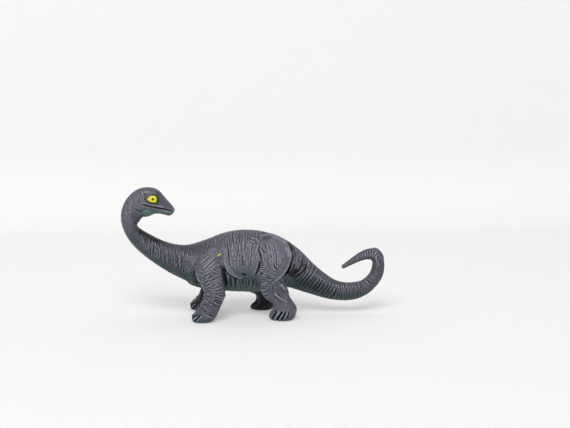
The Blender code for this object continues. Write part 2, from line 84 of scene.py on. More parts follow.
camera_data = bpy.data.cameras.new("camera")
camera_data.lens = CAMERA_LENS_MM
camera_data.sensor_width = CAMERA_SENSOR_MM
camera = bpy.data.objects.new("camera", camera_data)
camera.location = CAMERA_PLACE
camera.rotation_euler = (CAMERA_TILT, 0.0, CAMERA_PAN)
bpy.context.scene.collection.objects.link(camera)
bpy.context.scene.camera = camera
print("camera", round(CAMERA_PLACE.length, 2), "m from the figure")

# %% [markdown]
# ## Helpers
#
# A few functions serve many steps: they choose objects, apply a modifier, and read or write the points of a
# mesh as rows of numbers.

# %% Helpers
def pick(*pieces):
    """Selects these objects and nothing else, and makes the first of them the active one."""
    bpy.ops.object.select_all(action="DESELECT")
    for piece in pieces:
        piece.select_set(True)
    bpy.context.view_layer.objects.active = pieces[0]


def finish_modifier(piece, kind, **settings):
    """Adds a modifier with these settings and applies it."""
    bpy.context.view_layer.objects.active = piece
    modifier = piece.modifiers.new(kind.lower(), kind)
    for setting, value in settings.items():
        setattr(modifier, setting, value)
    bpy.ops.object.modifier_apply(modifier=modifier.name)


def face_outwards():
    """Turns all faces of the piece in edit mode outwards, and leaves edit mode."""
    bpy.ops.mesh.select_all(action="SELECT")
    bpy.ops.mesh.normals_make_consistent(inside=False)
    bpy.ops.object.mode_set(mode="OBJECT")


def read_all(members, field, kind=np.float32, numbers=1):
    """One field of all these vertices, edges, corners or faces, as one row of numbers."""
    flat = np.empty(len(members) * numbers, kind)
    members.foreach_get(field, flat)
    return flat


def places_of(piece):
    """The points of a piece, as rows of x, y, z."""
    return read_all(piece.data.vertices, "co", numbers=3).reshape(-1, 3).astype(float)


def normals_of(piece):
    return read_all(piece.data.vertex_normals, "vector", numbers=3).reshape(-1, 3).astype(float)


def move_points(piece, places):
    piece.data.vertices.foreach_set("co", places.astype(np.float32).ravel())
    piece.data.update()


def smooth_step(value):
    """0 up to 0, 1 from 1 on, and a soft rise between."""
    value = np.clip(value, 0.0, 1.0)
    return value * value * (3 - 2 * value)


print("helpers ready")

# %% [markdown]
# ## Measures of the centre line
#
# Head, neck, torso and tail are one long skin round one centre line. Each row is a ring of that skin: how
# far along the reach, how high in the rise, how its back edge leans in degrees, and its depth and breadth as
# shares of the stretch's largest. The CAD model is built from the same rows, so the skin lies where its
# solids do. The whole is shifted a little along x, so that the box of its footprint is centred.

# %% Rows of the skin
SPINE_REACH, SPINE_RISE, SHIFT_X = 0.140, 0.0655, -0.00085
HEAD_ROWS = (
    (-0.315, 0.900, 212, 0.14, 0.22),
    (-0.319, 0.905, 213, 0.25, 0.36),
    (-0.325, 0.913, 209, 0.345, 0.48),
    (-0.334, 0.927, 206, 0.40, 0.58),
    (-0.347, 0.945, 202, 0.485, 0.67),
    (-0.360, 0.965, 198, 0.585, 0.77),
    (-0.374, 0.986, 195, 0.72, 0.88),
    (-0.387, 0.998, 190, 0.86, 0.97),
    (-0.402, 0.999, 184, 0.95, 1.00),
    (-0.421, 0.996, 178, 1.00, 0.99),
    (-0.441, 0.991, 171, 0.98, 0.95),
)
NECK_ROWS = (
    (-0.457, 0.973, 156, 0.72, 0.635),
    (-0.469, 0.948, 141, 0.655, 0.605),
    (-0.477, 0.920, 126, 0.615, 0.58),
    (-0.484, 0.885, 112, 0.565, 0.555),
    (-0.488, 0.847, 101, 0.505, 0.53),
    (-0.489, 0.808, 88, 0.445, 0.51),
    (-0.486, 0.776, 72, 0.41, 0.505),
    (-0.480, 0.742, 55, 0.405, 0.515),
    (-0.468, 0.708, 38, 0.450, 0.54),
    (-0.449, 0.669, 26, 0.52, 0.58),
    (-0.424, 0.628, 21, 0.575, 0.625),
    (-0.396, 0.586, 17, 0.63, 0.68),
    (-0.364, 0.545, 10, 0.705, 0.745),
    (-0.330, 0.507, 3, 0.80, 0.82),
    (-0.296, 0.478, -2, 0.90, 0.905),
    (-0.264, 0.461, -4, 0.985, 0.98),
    (-0.240, 0.453, -5, 1.065, 1.05),
)
TORSO_ROWS = (
    (-0.171, 0.450, -6, 0.80, 0.79),
    (-0.119, 0.467, -5, 0.925, 0.90),
    (-0.066, 0.477, -3, 0.985, 0.97),
    (-0.010, 0.478, 0, 1.00, 1.00),
    (0.050, 0.466, 6, 0.965, 0.985),
    (0.098, 0.442, 13, 0.88, 0.91),
    (0.132, 0.420, 21, 0.755, 0.80),
    (0.166, 0.393, 29, 0.625, 0.64),
)
TAIL_ROWS = (
    (0.190, 0.362, 32, 0.965, 1.00),
    (0.219, 0.320, 33, 0.86, 0.865),
    (0.253, 0.282, 28, 0.745, 0.745),
    (0.289, 0.243, 20, 0.66, 0.665),
    (0.324, 0.211, 12, 0.58, 0.605),
    (0.359, 0.195, 4, 0.535, 0.56),
    (0.393, 0.192, -2, 0.515, 0.535),
    (0.423, 0.200, -10, 0.49, 0.51),
    (0.447, 0.217, -22, 0.45, 0.485),
    (0.466, 0.243, -38, 0.42, 0.455),
    (0.484, 0.278, -55, 0.40, 0.435),
    (0.498, 0.317, -69, 0.395, 0.42),
    (0.508, 0.360, -81, 0.385, 0.41),
    (0.511, 0.406, -97, 0.37, 0.395),
    (0.509, 0.453, -119, 0.355, 0.375),
    (0.503, 0.499, -144, 0.35, 0.355),
    (0.487, 0.524, -167, 0.345, 0.335),
    (0.466, 0.522, -183, 0.305, 0.30),
    (0.442, 0.505, -195, 0.26, 0.265),
    (0.418, 0.476, -204, 0.205, 0.225),
    (0.393, 0.444, -206, 0.155, 0.18),
    (0.369, 0.413, -206, 0.125, 0.14),
    (0.362, 0.404, -206, 0.095, 0.10),
)
# Rows, largest depth, largest breadth and pear (how much wider the lower half is) of each stretch
STRETCHES = (
    (HEAD_ROWS, 0.0168, 0.0128, 0.0),
    (NECK_ROWS, 0.0210, 0.0190, 0.0),
    (TORSO_ROWS, 0.0355, 0.0330, 0.10),
    (TAIL_ROWS, 0.0200, 0.0180, 0.0),
)
HEAD_SEAM = len(HEAD_ROWS) - 1
NECK_SEAM = HEAD_SEAM + len(NECK_ROWS)
TAIL_SEAM = NECK_SEAM + len(TORSO_ROWS)

spine = np.array([(along * SPINE_REACH + SHIFT_X, rise * SPINE_RISE, math.radians(lean), depth * deepest,
                   breadth * broadest, pear)
                  for rows, deepest, broadest, pear in STRETCHES
                  for along, rise, lean, depth, breadth in rows])
print(len(spine), "rows from snout to tail tip")

# %% [markdown]
# ## A form is a disc that is pushed on and on
#
# A limb or a neck can be made from a curve with a bevel, but such a tube has no say over its depth and
# breadth apart. Here a filled circle is extruded from ring to ring, and each new ring is turned and resized
# about its own middle. Without a window the rotate operator turns the other way round, and it takes its
# centre from center_override. Two levels of subdivision then round the facets off. A subdivided ring shrinks
# a little inside its corners, so each ring is made larger by that share first.

# %% Shape a form through rings
RING_SIDES = 24
SHRINKAGE = (2 + math.cos(math.tau / RING_SIDES)) / 3
ROUNDING = 2


def pushed_disc(name, places, leans, depths, breadths):
    """A closed, rounded form through rings round these places. A lean of 0 stands the ring upright."""
    bpy.ops.object.select_all(action="DESELECT")
    bpy.ops.mesh.primitive_circle_add(vertices=RING_SIDES, radius=1.0, fill_type="NGON",
                                      rotation=(0.0, math.pi / 2, 0.0))
    form = bpy.context.object
    form.name = name
    bpy.ops.object.transform_apply(location=False, rotation=True, scale=False)
    bpy.ops.object.mode_set(mode="EDIT")
    bpy.ops.mesh.select_all(action="SELECT")
    bpy.ops.transform.resize(value=(1.0, breadths[0] / 2, depths[0] / 2), center_override=(0.0, 0.0, 0.0))
    bpy.ops.transform.rotate(value=-leans[0], orient_axis="Y", center_override=(0.0, 0.0, 0.0))
    bpy.ops.transform.translate(value=places[0])
    for ring in range(1, len(places)):
        place = places[ring]
        bpy.ops.mesh.extrude_region_move(TRANSFORM_OT_translate={"value": place - places[ring - 1]})
        bpy.ops.transform.rotate(value=leans[ring - 1], orient_axis="Y", center_override=place)
        bpy.ops.transform.resize(value=(1.0, breadths[ring] / breadths[ring - 1],
                                        depths[ring] / depths[ring - 1]), center_override=place)
        bpy.ops.transform.rotate(value=-leans[ring], orient_axis="Y", center_override=place)
    face_outwards()
    finish_modifier(form, "SUBSURF", levels=ROUNDING, render_levels=ROUNDING)
    return form


body_form = pushed_disc("body_form", [Vector((row[0], 0.0, row[1])) for row in spine], spine[:, 2],
                        spine[:, 3] / SHRINKAGE, spine[:, 4] / SHRINKAGE)
print("body form:", len(body_form.data.polygons), "faces")

# %% [markdown]
# ## Legs
#
# A leg is pushed up from its sole in level rings, which in this helper means a lean of a quarter turn. The
# fore feet point at the snout, the hind legs carry a broad haunch that tapers to a bent hock, and the right
# legs stand a stride further forward than the left ones. Rows give height, middle, length, inner side,
# outer side and share of the stride.

# %% Rows of the legs
HALF_BREADTH = 0.0330 / 2
FORE_ROWS = (
    (0.000, -0.31, 0.66, 0.64, 1.24, 1.00),
    (0.015, -0.31, 0.82, 0.60, 1.28, 1.00),
    (0.066, -0.26, 0.97, 0.57, 1.31, 1.00),
    (0.122, -0.17, 0.95, 0.58, 1.30, 1.00),
    (0.175, -0.05, 0.83, 0.60, 1.25, 1.00),
    (0.232, 0.04, 0.78, 0.61, 1.21, 1.00),
    (0.300, 0.12, 0.83, 0.60, 1.20, 0.95),
    (0.361, 0.19, 0.83, 0.57, 1.19, 0.90),
    (0.430, 0.17, 0.83, 0.52, 1.16, 0.85),
    (0.510, 0.09, 0.90, 0.46, 1.12, 0.75),
    (0.610, -0.02, 1.05, 0.38, 1.07, 0.65),
    (0.712, -0.03, 1.12, 0.32, 1.01, 0.55),
    (0.810, 0.04, 1.05, 0.28, 0.95, 0.50),
    (0.890, 0.15, 0.87, 0.26, 0.86, 0.45),
    (0.955, 0.25, 0.64, 0.26, 0.75, 0.40),
    (1.000, 0.30, 0.34, 0.28, 0.63, 0.40),
)
HIND_ROWS = (
    (0.000, 0.27, 0.66, 0.54, 1.12, 1.00),
    (0.012, 0.26, 0.78, 0.50, 1.16, 1.00),
    (0.046, 0.27, 0.90, 0.47, 1.19, 1.00),
    (0.093, 0.32, 0.885, 0.48, 1.185, 1.00),
    (0.150, 0.37, 0.77, 0.51, 1.13, 1.00),
    (0.207, 0.26, 0.80, 0.52, 1.10, 1.00),
    (0.285, 0.09, 0.90, 0.52, 1.10, 0.96),
    (0.365, 0.015, 0.96, 0.49, 1.10, 0.90),
    (0.455, -0.085, 0.86, 0.45, 1.11, 0.80),
    (0.540, -0.10, 0.86, 0.40, 1.12, 0.68),
    (0.625, -0.055, 0.97, 0.35, 1.125, 0.56),
    (0.705, 0.00, 1.06, 0.30, 1.115, 0.46),
    (0.785, 0.02, 1.11, 0.25, 1.07, 0.38),
    (0.865, 0.02, 1.08, 0.20, 0.95, 0.34),
    (0.930, 0.02, 0.94, 0.17, 0.77, 0.30),
    (0.975, 0.02, 0.70, 0.17, 0.59, 0.30),
    (1.000, 0.02, 0.36, 0.19, 0.44, 0.30),
)
LEFT, RIGHT = -1, 1
# Name, side, rows, rise, girth, place along the reach and stride of each leg
LEGS = (
    ("front_left_leg", LEFT, FORE_ROWS, 0.0410, 0.0140, -0.173, 0.0),
    ("front_right_leg", RIGHT, FORE_ROWS, 0.0410, 0.0140, -0.173, 0.0010),
    ("hind_left_leg", LEFT, HIND_ROWS, 0.0455, 0.0160, 0.082, 0.0),
    ("hind_right_leg", RIGHT, HIND_ROWS, 0.0455, 0.0160, 0.082, 0.0098),
)
# The legs' cross-sections are squarer than an ellipse, which a slightly larger ellipse stands for
SQUARE_SHARE = 1.03


def leg_levels(side, rows, rise, girth, place, stride):
    """Rows of x, y, z, length and width in metres, from the sole up."""
    levels = []
    for height, middle, length, inner, outer, swing in rows:
        levels.append((place * SPINE_REACH + SHIFT_X + middle * girth - swing * stride,
                       side * (inner + outer) / 2 * HALF_BREADTH, height * rise, length * girth,
                       (outer - inner) * HALF_BREADTH))
    return np.array(levels)


leg_rows = {name: leg_levels(*measures) for name, *measures in LEGS}
leg_forms = []
for name, levels in leg_rows.items():
    level_lean = [math.pi / 2] * len(levels)
    leg_forms.append(pushed_disc(name + "_form", [Vector(row[:3]) for row in levels], level_lean,
                                 levels[:, 3] * SQUARE_SHARE / SHRINKAGE,
                                 levels[:, 4] * SQUARE_SHARE / SHRINKAGE))
print(len(leg_forms), "leg forms")

# %% [markdown]
# ## Fusing the forms
#
# Boolean unions would join the forms, but leave a knife-sharp line round every leg and long thin faces
# beside it. A voxel remesh casts all the forms as one surface of even, small squares, which is what a carved
# skin needs. A light smoothing takes the steps of the voxels off, and a stronger one works only where a leg
# and the body meet, as a thumb does.

# %% Fuse the forms
VOXEL = 0.00022

pick(body_form, *leg_forms)
bpy.ops.object.join()
clay = body_form
clay.name = "clay"
finish_modifier(clay, "REMESH", mode="VOXEL", voxel_size=VOXEL)
finish_modifier(clay, "SMOOTH", factor=0.5, iterations=4)
print("clay:", len(clay.data.polygons), "faces")

# %% Smoothing of values over the skin
SMOOTHING = 0.7

edge_from, edge_to = read_all(clay.data.edges, "vertices", np.int32, 2).reshape(-1, 2).T
point_count = len(clay.data.vertices)
neighbours = np.bincount(edge_from, minlength=point_count) + np.bincount(edge_to, minlength=point_count)


def smoothed(values, rounds):
    """Each point's value, averaged with its neighbours' so many times."""
    values = values.copy()
    for _ in range(rounds):
        total = np.bincount(edge_from, values[edge_to], point_count)
        total += np.bincount(edge_to, values[edge_from], point_count)
        values += SMOOTHING * (total / neighbours - values)
    return values


print("each point has", neighbours.min(), "to", neighbours.max(), "neighbours")

# %% [markdown]
# ## Where is a point on the animal?
#
# Wrinkles follow the body, not the world, so every point of the clay is given addresses: how far along the
# centre line it lies, how far round it, and the same for the nearest leg. The centre line is a smooth curve
# through the rows. Where a point lies closer to a leg's form than to the body's, its leg share goes to 1.

# %% Centre line
STEPS_PER_ROW = 12


def through_rows(rows, steps):
    """A Catmull-Rom curve through the rows, with so many steps from each to the next."""
    padded = np.vstack([rows[0], rows, rows[-1]])
    share = (np.arange(steps) / steps)[:, None]
    curve = []
    for before, start, end, after in zip(padded, padded[1:], padded[2:], padded[3:]):
        curve.append(start + share * ((end - before) + share * (
            (2 * before - 5 * start + 4 * end - after) + share * (3 * start - before - 3 * end + after))) / 2)
    return np.vstack(curve + [rows[-1:]])


spine_curve = through_rows(spine, STEPS_PER_ROW)
spine_steps = np.linalg.norm(np.diff(spine_curve[:, :2], axis=0), axis=1)
spine_length = np.concatenate([[0.0], np.cumsum(spine_steps)])
print("centre line:", round(spine_length[-1], 4), "m long")

# %% Addresses on the skin
LEG_BLEND = 0.0008
# So many points at once are compared with the whole centre line, to save memory
POINTS_AT_ONCE = 20000


class Address:
    """Where each point of the skin lies on the animal."""

    def __init__(self, places):
        self.x, self.y, self.z = places.T
        nearest = np.empty(len(places), int)
        line = spine_curve[:, :2].astype(np.float32)
        for start in range(0, len(places), POINTS_AT_ONCE):
            part = places[start:start + POINTS_AT_ONCE]
            gap = (part[:, None, 0] - line[:, 0]) ** 2 + (part[:, None, 2] - line[:, 1]) ** 2
            nearest[start:start + POINTS_AT_ONCE] = gap.argmin(axis=1)
        row = spine_curve[nearest]
        forward = np.gradient(spine_curve[:, :2], axis=0)[nearest]
        forward /= np.linalg.norm(forward, axis=1)[:, None]
        offset = places[:, [0, 2]] - row[:, :2]
        self.along = spine_length[nearest] + (offset * forward).sum(axis=1)
        self.row = nearest / STEPS_PER_ROW
        up = np.stack([np.sin(row[:, 2]), np.cos(row[:, 2])], axis=1)
        rise = (offset * up).sum(axis=1)
        self.round = np.arctan2(self.y, rise)
        self.body_radius = (row[:, 3] + row[:, 4]) / 4
        fullness = np.hypot(rise / row[:, 3], self.y / row[:, 4]) * 2
        self.body_gap = (fullness - 1) * self.body_radius
        self.pear = 1 - row[:, 5] * np.cos(self.round)
        self.leg = np.full(len(places), -1)
        self.leg_gap = np.full(len(places), 1.0)
        self.leg_round = np.zeros(len(places))
        self.leg_height = np.zeros(len(places))
        self.leg_reach = np.zeros(len(places))
        for number, (name, levels) in enumerate(leg_rows.items()):
            mid_x, mid_y, length, width = (np.interp(self.z, levels[:, 2], levels[:, column])
                                           for column in (0, 1, 3, 4))
            across = (self.x - mid_x) / length * 2
            out = (self.y - mid_y) / width * 2
            gap = (np.hypot(across, out) - 1) * (length + width) / 4
            gap = np.maximum(gap, self.z - levels[-1, 2])
            closer = gap < self.leg_gap
            self.leg[closer] = number
            self.leg_gap[closer] = gap[closer]
            self.leg_round[closer] = np.arctan2(out * np.sign(mid_y), -across)[closer]
            self.leg_reach[closer] = (self.x - mid_x)[closer]
            self.leg_height[closer] = (self.z / levels[-1, 2])[closer]
        self.leg_share = smooth_step((self.body_gap - self.leg_gap) / LEG_BLEND + 0.5)


address = Address(places_of(clay))
print("points:", len(address.x), "of which on legs:", int((address.leg_share > 0.5).sum()))

# %% Belly wider than the back, and the legs' tops thumbed into the body
THUMB_REACH, THUMB_ROUNDS = 1.6 * MM, 60
# The thumb sets in at this share of a leg's height, and works in full this much further up
THUMB_START, THUMB_RANGE = 0.6, 0.2

places = places_of(clay)
places[:, 1] *= 1 + (address.pear - 1) * (1 - address.leg_share)
thumbed = np.exp(-((address.body_gap - address.leg_gap) / THUMB_REACH) ** 2)
thumbed *= smooth_step((address.leg_height - THUMB_START) / THUMB_RANGE)
for column in range(3):
    places[:, column] += thumbed * (smoothed(places[:, column], THUMB_ROUNDS) - places[:, column])
move_points(clay, places)
print("widest at the belly:", round(2 * places[:, 1].max() / MM, 1), "mm")

# %% [markdown]
# ## First carving: muscles and big folds
#
# A sculptor moves clay with a thumb before taking up a fine tool. A stroke here is the same: a line of a few
# points, drawn on the side view in millimetres, with a width and a height. Points of the skin near the line
# move along their normals, out for a ridge and in for a fold, and the move fades away across the line and
# towards its ends. The same stroke works on both sides of the animal. A stroke on a leg is moved along with
# that leg's stride.

# %% Strokes
BODY, LEG, ANY = "body", "leg", "any"
# A stroke may also name one leg by its number in the table of legs
FORE_LEFT, HIND_LEFT, HIND_RIGHT = 0, 2, 3
# How far from a leg the skin still follows its stride
PULL_REACH = 14 * MM
# A stroke fades in over this range of the sideways share of the skin's normal, and over a fifth at its ends
SIDEWAYS_RANGE, END_SHARES = 0.2, 5


def noise_at(*coordinates):
    """Noise from about -1 to 1, in cells of about one unit, at points given by their three coordinates."""
    return np.array([noise.noise(point) for point in np.stack(coordinates, axis=1).tolist()])


class Carving:
    """How far each point of the clay is to move along its normal, in metres."""

    def __init__(self, piece):
        self.piece = piece
        self.places = places_of(piece)
        self.normals = normals_of(piece)
        self.height = np.zeros(len(self.places))
        # Painted shade where positive, and painted highlight where negative, laid on by the strokes
        self.shade = np.zeros(len(self.places))
        shift = np.zeros(len(self.places))
        # A stride pulls the skin beside the leg along with it
        pulled = smooth_step((PULL_REACH - address.leg_gap) / PULL_REACH)
        for number, (_, _, rows, rise, _, _, stride) in enumerate(LEGS):
            swing = np.interp(self.places[:, 2], [row[0] * rise for row in rows], [row[5] for row in rows])
            shift += np.where(address.leg == number, swing * stride * pulled, 0.0)
        self.side_x = self.places[:, 0] + shift
        self.sideways = np.abs(self.normals[:, 1])

    def stroke(self, line, width, height, where=ANY, shade=0.0, least_sideways=0.15, fade=True):
        """A ridge or fold along a line of (x, z) in millimetres, so many millimetres wide and high."""
        line = np.array(line) * MM
        reach = 3 * width * MM
        low, high = line.min(axis=0) - reach, line.max(axis=0) + reach
        near = np.flatnonzero((self.side_x > low[0]) & (self.side_x < high[0]) & (self.places[:, 2] > low[1])
                              & (self.places[:, 2] < high[1]) & (self.sideways > least_sideways))
        point = np.stack([self.side_x[near], self.places[near, 2]], axis=1)
        best = np.full(len(near), np.inf)
        share = np.zeros(len(near))
        lengths = np.linalg.norm(np.diff(line, axis=0), axis=1)
        start_length = 0.0
        for start, end, length in zip(line, line[1:], lengths):
            step = (end - start) / length
            along = np.clip((point - start) @ step, 0.0, length)
            gap = np.linalg.norm(point - start - along[:, None] * step, axis=1)
            closer = gap < best
            best[closer] = gap[closer]
            share[closer] = ((start_length + along) / lengths.sum())[closer]
            start_length += length
        amount = np.exp(-(best / (width * MM / 2)) ** 2)
        amount *= smooth_step((self.sideways[near] - least_sideways) / SIDEWAYS_RANGE)
        if fade:
            amount *= smooth_step(share * END_SHARES) * smooth_step((1 - share) * END_SHARES)
        if where == BODY:
            amount *= 1 - address.leg_share[near]
        elif where == LEG:
            amount *= address.leg_share[near]
        elif where != ANY:
            amount *= address.leg_share[near] * (address.leg[near] == where)
        self.height[near] += amount * height * MM
        # A positive shade paints shade into the line, and a negative one paints a highlight on it
        self.shade[near] += amount * shade

    def press(self):
        """Moves the points and starts the next carving from the new surface."""
        moved = self.places + self.normals * self.height[:, None]
        move_points(self.piece, moved)
        self.places = moved
        self.normals = normals_of(self.piece)
        self.sideways = np.abs(self.normals[:, 1])
        self.height[:] = 0.0


carving = Carving(clay)
print("points to carve:", len(carving.height))

# %% Muscles and big folds
for line, width, height, where in (
        # Shoulder: the arm's front edge stands over the chest, and its rear edge over the ribs
        (((-30, 32), (-31.5, 28), (-30.5, 24), (-29, 20), (-28, 16)), 3.5, -0.7, BODY),
        (((-18.5, 33), (-17.5, 28), (-16.5, 24), (-16.5, 18)), 3.0, -0.9, BODY),
        (((-20, 36), (-24.5, 38), (-29, 35), (-31, 31)), 3.0, 0.35, ANY),
        # Flank: a sunken oval panel behind the shoulder, edged by a soft ridge
        (((-15, 27), (-12.5, 23), (-9, 21), (-3, 21), (1, 23)), 4.0, -0.5, BODY),
        (((-12, 33), (-7, 31), (-2, 33)), 11.0, 0.5, BODY),
        # Haunch: full in its middle and cut away behind and below
        (((8, 36), (11, 33), (13, 31)), 11.0, 0.5, ANY),
        (((20.5, 40), (21.5, 36), (20.5, 31.5), (18.5, 27.5), (15, 23.5)), 3.4, -0.8, BODY),
        (((18, 41), (19.4, 37), (18.9, 34), (17.6, 30.4), (15.1, 26.6), (12, 24.3), (8.8, 22.5)),
         2.2, 0.45, ANY),
        (((2.5, 41), (3.2, 36), (2.5, 31), (0.5, 27)), 2.6, -0.45, BODY),
        # Knee, hock and the tendon down the shin
        (((13.5, 21.5), (15.5, 18.5), (17, 16.5)), 2.6, 0.5, LEG),
        (((9.5, 16.5), (12.5, 14), (15, 12), (18, 9.5)), 2.0, 0.45, LEG),
        (((6, 19), (8.5, 14.5), (11, 11)), 3.2, -0.35, LEG),
        # Elbow and wrist
        (((-19, 18.5), (-18.2, 15), (-19.5, 12)), 3.5, 0.4, LEG),
        (((-29, 12), (-24, 10.5), (-20, 10)), 3.5, -0.25, LEG),
        # The far hind leg's ankle is thinner in front, over a foot that flares
        (((8.5, 11.5), (9.5, 8.5)), 4.0, -0.6, HIND_RIGHT),
        (((8.5, 1.5), (8.0, 0.5)), 2.2, 0.5, HIND_RIGHT)):
    carving.stroke(line, width, height, where, least_sideways=0.05)
for line, width, height in ((((9.8, 7.6), (10.8, 5.6)), 4.6, -2.1), (((9.4, 4.0), (8.8, 2.6)), 3.2, -1.2)):
    carving.stroke(line, width, height, HIND_RIGHT, least_sideways=-1.0, fade=False)
carving.press()
print("muscles moved the skin, now", [round(edge / MM, 1) for edge in np.ptp(carving.places, axis=0)], "mm")

# %% [markdown]
# ## Second carving: the wrinkled skin
#
# The skin shows three kinds of line. Rings run round the neck and the tail, a little over a millimetre
# apart, and wander as they go. Finer wrinkles run down the flanks and across the legs, and branch. And a
# few dozen single creases were cut by hand. Rings are worked out from a count along the centre line that
# noise pushes to and fro. Branching wrinkles are the lines where a noise changes its sign, with cells
# stretched along the line. Rows of single creases repeat one stroke at an even step.

# %% Windows and noise on the skin
address = Address(carving.places)
row, leg_share, body_share = address.row, address.leg_share, 1 - address.leg_share
girth_x = np.cos(address.round) * address.body_radius
girth_y = np.sin(address.round) * address.body_radius


def band(start, full, late, end):
    """1 between the rows full and late, falling to 0 at start and end."""
    return smooth_step((row - start) / (full - start)) * smooth_step((end - row) / (end - late))


def groove(distance, width):
    """1 on a line, about a third at one width from it, and soon 0."""
    return np.exp(-(distance / width) ** 2)


def oval(x, z, half_length, half_height):
    """1 in the middle of an oval on the side view, 0 outside it, in millimetres."""
    across = (address.x / MM - x) / half_length
    up = (address.z / MM - z) / half_height
    return smooth_step((1 - np.hypot(across, up)) / 0.35)


def girth_noise(along_cell, girth_cell, offset=0.0):
    """Noise on the body, in cells of so many millimetres along and round it. Offsets give new patterns."""
    return noise_at(address.along / (along_cell * MM), girth_x / (girth_cell * MM),
                    girth_y / (girth_cell * MM) + offset)


def place_noise(cells, offsets=(0.0, 0.0, 0.0)):
    """Noise in the room, in cells of so many millimetres along x, y and z."""
    return noise_at(*(values / (cell * MM) + offset
                      for values, cell, offset in zip((address.x, address.y, address.z), cells, offsets)))


print("points on the body alone:", int((leg_share < 0.01).sum()))

# %% Rings
RING_ROWS = (0, 10, 18, 27, 35, 44, 50, 58)
RING_SPACINGS_MM = (1.4, 1.35, 1.2, 1.5, 1.45, 1.4, 1.35, 0.9)
# Width of a ring's cut as a share of the spacing, and height of the soft wave between the cuts
RING_WIDTH, RING_WAVE = 0.15, 0.15
# Depth of the rings in millimetres: on the neck, at its root and on the tail
NECK_RINGS, ROOT_RINGS, TAIL_RINGS = 0.15, 0.09, 0.21
UNDERSIDE_FROM = math.radians(72)

spacing = np.interp(np.arange(len(spine_curve)) / STEPS_PER_ROW, RING_ROWS, RING_SPACINGS_MM) * MM
ring_count = np.concatenate([[0.0], np.cumsum(spine_steps / spacing[1:])])
wander = 0.8 * girth_noise(9, 5)
wander += 0.38 * girth_noise(2.5, 2)
count = np.interp(address.along, spine_length, ring_count) + wander
whole = np.round(count)
# Each ring has a depth of its own, the rings under the tail are deepest, and all are faint on the outline
own_depth = 0.6 + 0.9 * noise_at(whole * 0.73, girth_x / (7 * MM), girth_y / (7 * MM) + 60)
own_depth = np.clip(own_depth, 0.1, 1.4)
edge_on = 0.35 + 0.65 * smooth_step(carving.sideways / 0.6)
underside = smooth_step((np.abs(address.round) - UNDERSIDE_FROM) / 0.5) * band(34, 37, 44, 47)
ring_depth = (NECK_RINGS * band(6, 9, 14, 18) + ROOT_RINGS * band(14, 18, 22, 26)
              + TAIL_RINGS * band(33, 37, 56, 58))
rings = groove(np.abs(count - whole), RING_WIDTH) * own_depth + RING_WAVE * np.cos(math.tau * count)
carving.height -= rings * ring_depth * (1 + 0.5 * underside) * edge_on * body_share * MM
# Shade is painted into the ring grooves, most of all under the tail
carving.shade += np.clip(rings, 0, 1) * ring_depth * (0.3 + 2.4 * underside) * body_share
print("rings counted:", round(ring_count[-1]))

# %% Branching wrinkles on the body
# Heights in millimetres. A wave lifts the skin to both sides of the lines, and a cut follows them
FLANK_WAVE, FLANK_CUT, FINE_CUT, BACK_WAVE = 0.24, 0.24, 0.20, 0.14

# The flank's panel, the haunch and the face stay almost plain
plain = 1 - 0.85 * oval(-7, 28.5, 9.5, 6.5) - 0.65 * oval(11, 37, 10, 11) - 0.75 * oval(-55, 66, 11, 9)
flank_lines = girth_noise(1.0, 5.0, 9)
flank_fine = girth_noise(0.8, 2.6, 27)
flank_depth = band(21, 25, 34, 37) * body_share * plain * edge_on
carving.height += FLANK_WAVE * flank_lines * flank_depth * MM
carving.height -= groove(flank_lines, 0.09) * FLANK_CUT * flank_depth * MM
carving.height -= (groove(flank_fine, 0.12) * FINE_CUT * band(11, 18, 40, 50) * body_share * plain * edge_on
                   * MM)
back = smooth_step((address.z / MM - 38) / 5) * band(22, 25, 33, 36) * body_share
carving.height += BACK_WAVE * place_noise((1.5, 1.5, 1.5), (0, 0, 3)) * back * MM
print("deepest wrinkle of the body:", round(-carving.height.min() / MM, 2), "mm")

# %% Branching wrinkles on the legs, and pores
LEG_WAVE, LEG_CUT, PORES = 0.29, 0.22, 0.04
LEG_SLANT, LEG_RADIUS_MM = 0.35, 6

leg_level = address.z + LEG_SLANT * address.leg_reach
leg_turn_x = np.cos(address.leg_round) * LEG_RADIUS_MM * MM
leg_turn_y = np.sin(address.leg_round) * LEG_RADIUS_MM * MM


def leg_noise(level_cell, turn_cell):
    """Noise on the legs, in cells of so many millimetres up them and round them. No two legs are alike."""
    return noise_at(leg_level / (level_cell * MM), leg_turn_x / (turn_cell * MM),
                    leg_turn_y / (turn_cell * MM) + 5 * address.leg)


leg_lines = leg_noise(1.2, 2.8)
leg_lines += 0.3 * leg_noise(0.5, 1.5)
foot = smooth_step((0.20 - address.leg_height) / 0.1)
hind = address.leg >= HIND_LEFT
shin = hind * smooth_step((0.5 - address.leg_height) / 0.1)
forearm = (1 - hind) * smooth_step((0.46 - address.leg_height) / 0.08)
leg_depth = (1 - 0.7 * foot) * (1 - 0.75 * shin) * (1 + 0.6 * forearm) * leg_share * plain
carving.height += LEG_WAVE * leg_lines * leg_depth * MM
carving.height -= groove(leg_lines, 0.12) * LEG_CUT * leg_depth * MM
# Pores are everywhere
carving.height += PORES * place_noise((0.7, 0.7, 0.7)) * MM
print("deepest wrinkle:", round(-carving.height.min() / MM, 2), "mm")

# %% [markdown]
# ## Single creases, folds and ridges
#
# These are read off the figure one by one. A negative height cuts and a positive one raises, a positive shade
# paints shade into a line and a negative one paints a highlight on it, and a row of like creases is one
# stroke repeated with an even step between its copies, a little uneven in length.

# %% Rows of creases
jitter = np.random.RandomState(7)


def hatching(first, last, copies, width, height, where=ANY, unrest=0.22, shade=0.0, **settings):
    """Strokes that turn step by step from one line to another, each a little off its place and strength."""
    for share in np.linspace(0.0, 1.0, copies):
        line = np.array(first) * (1 - share) + np.array(last) * share
        line = line + jitter.uniform(-0.22, 0.22, line.shape) + jitter.uniform(-1, 1, 2) * unrest
        strength = jitter.uniform(0.45, 1.2)
        carving.stroke(line, width, height * strength, where, shade=shade * strength, **settings)


print("ready to hatch")
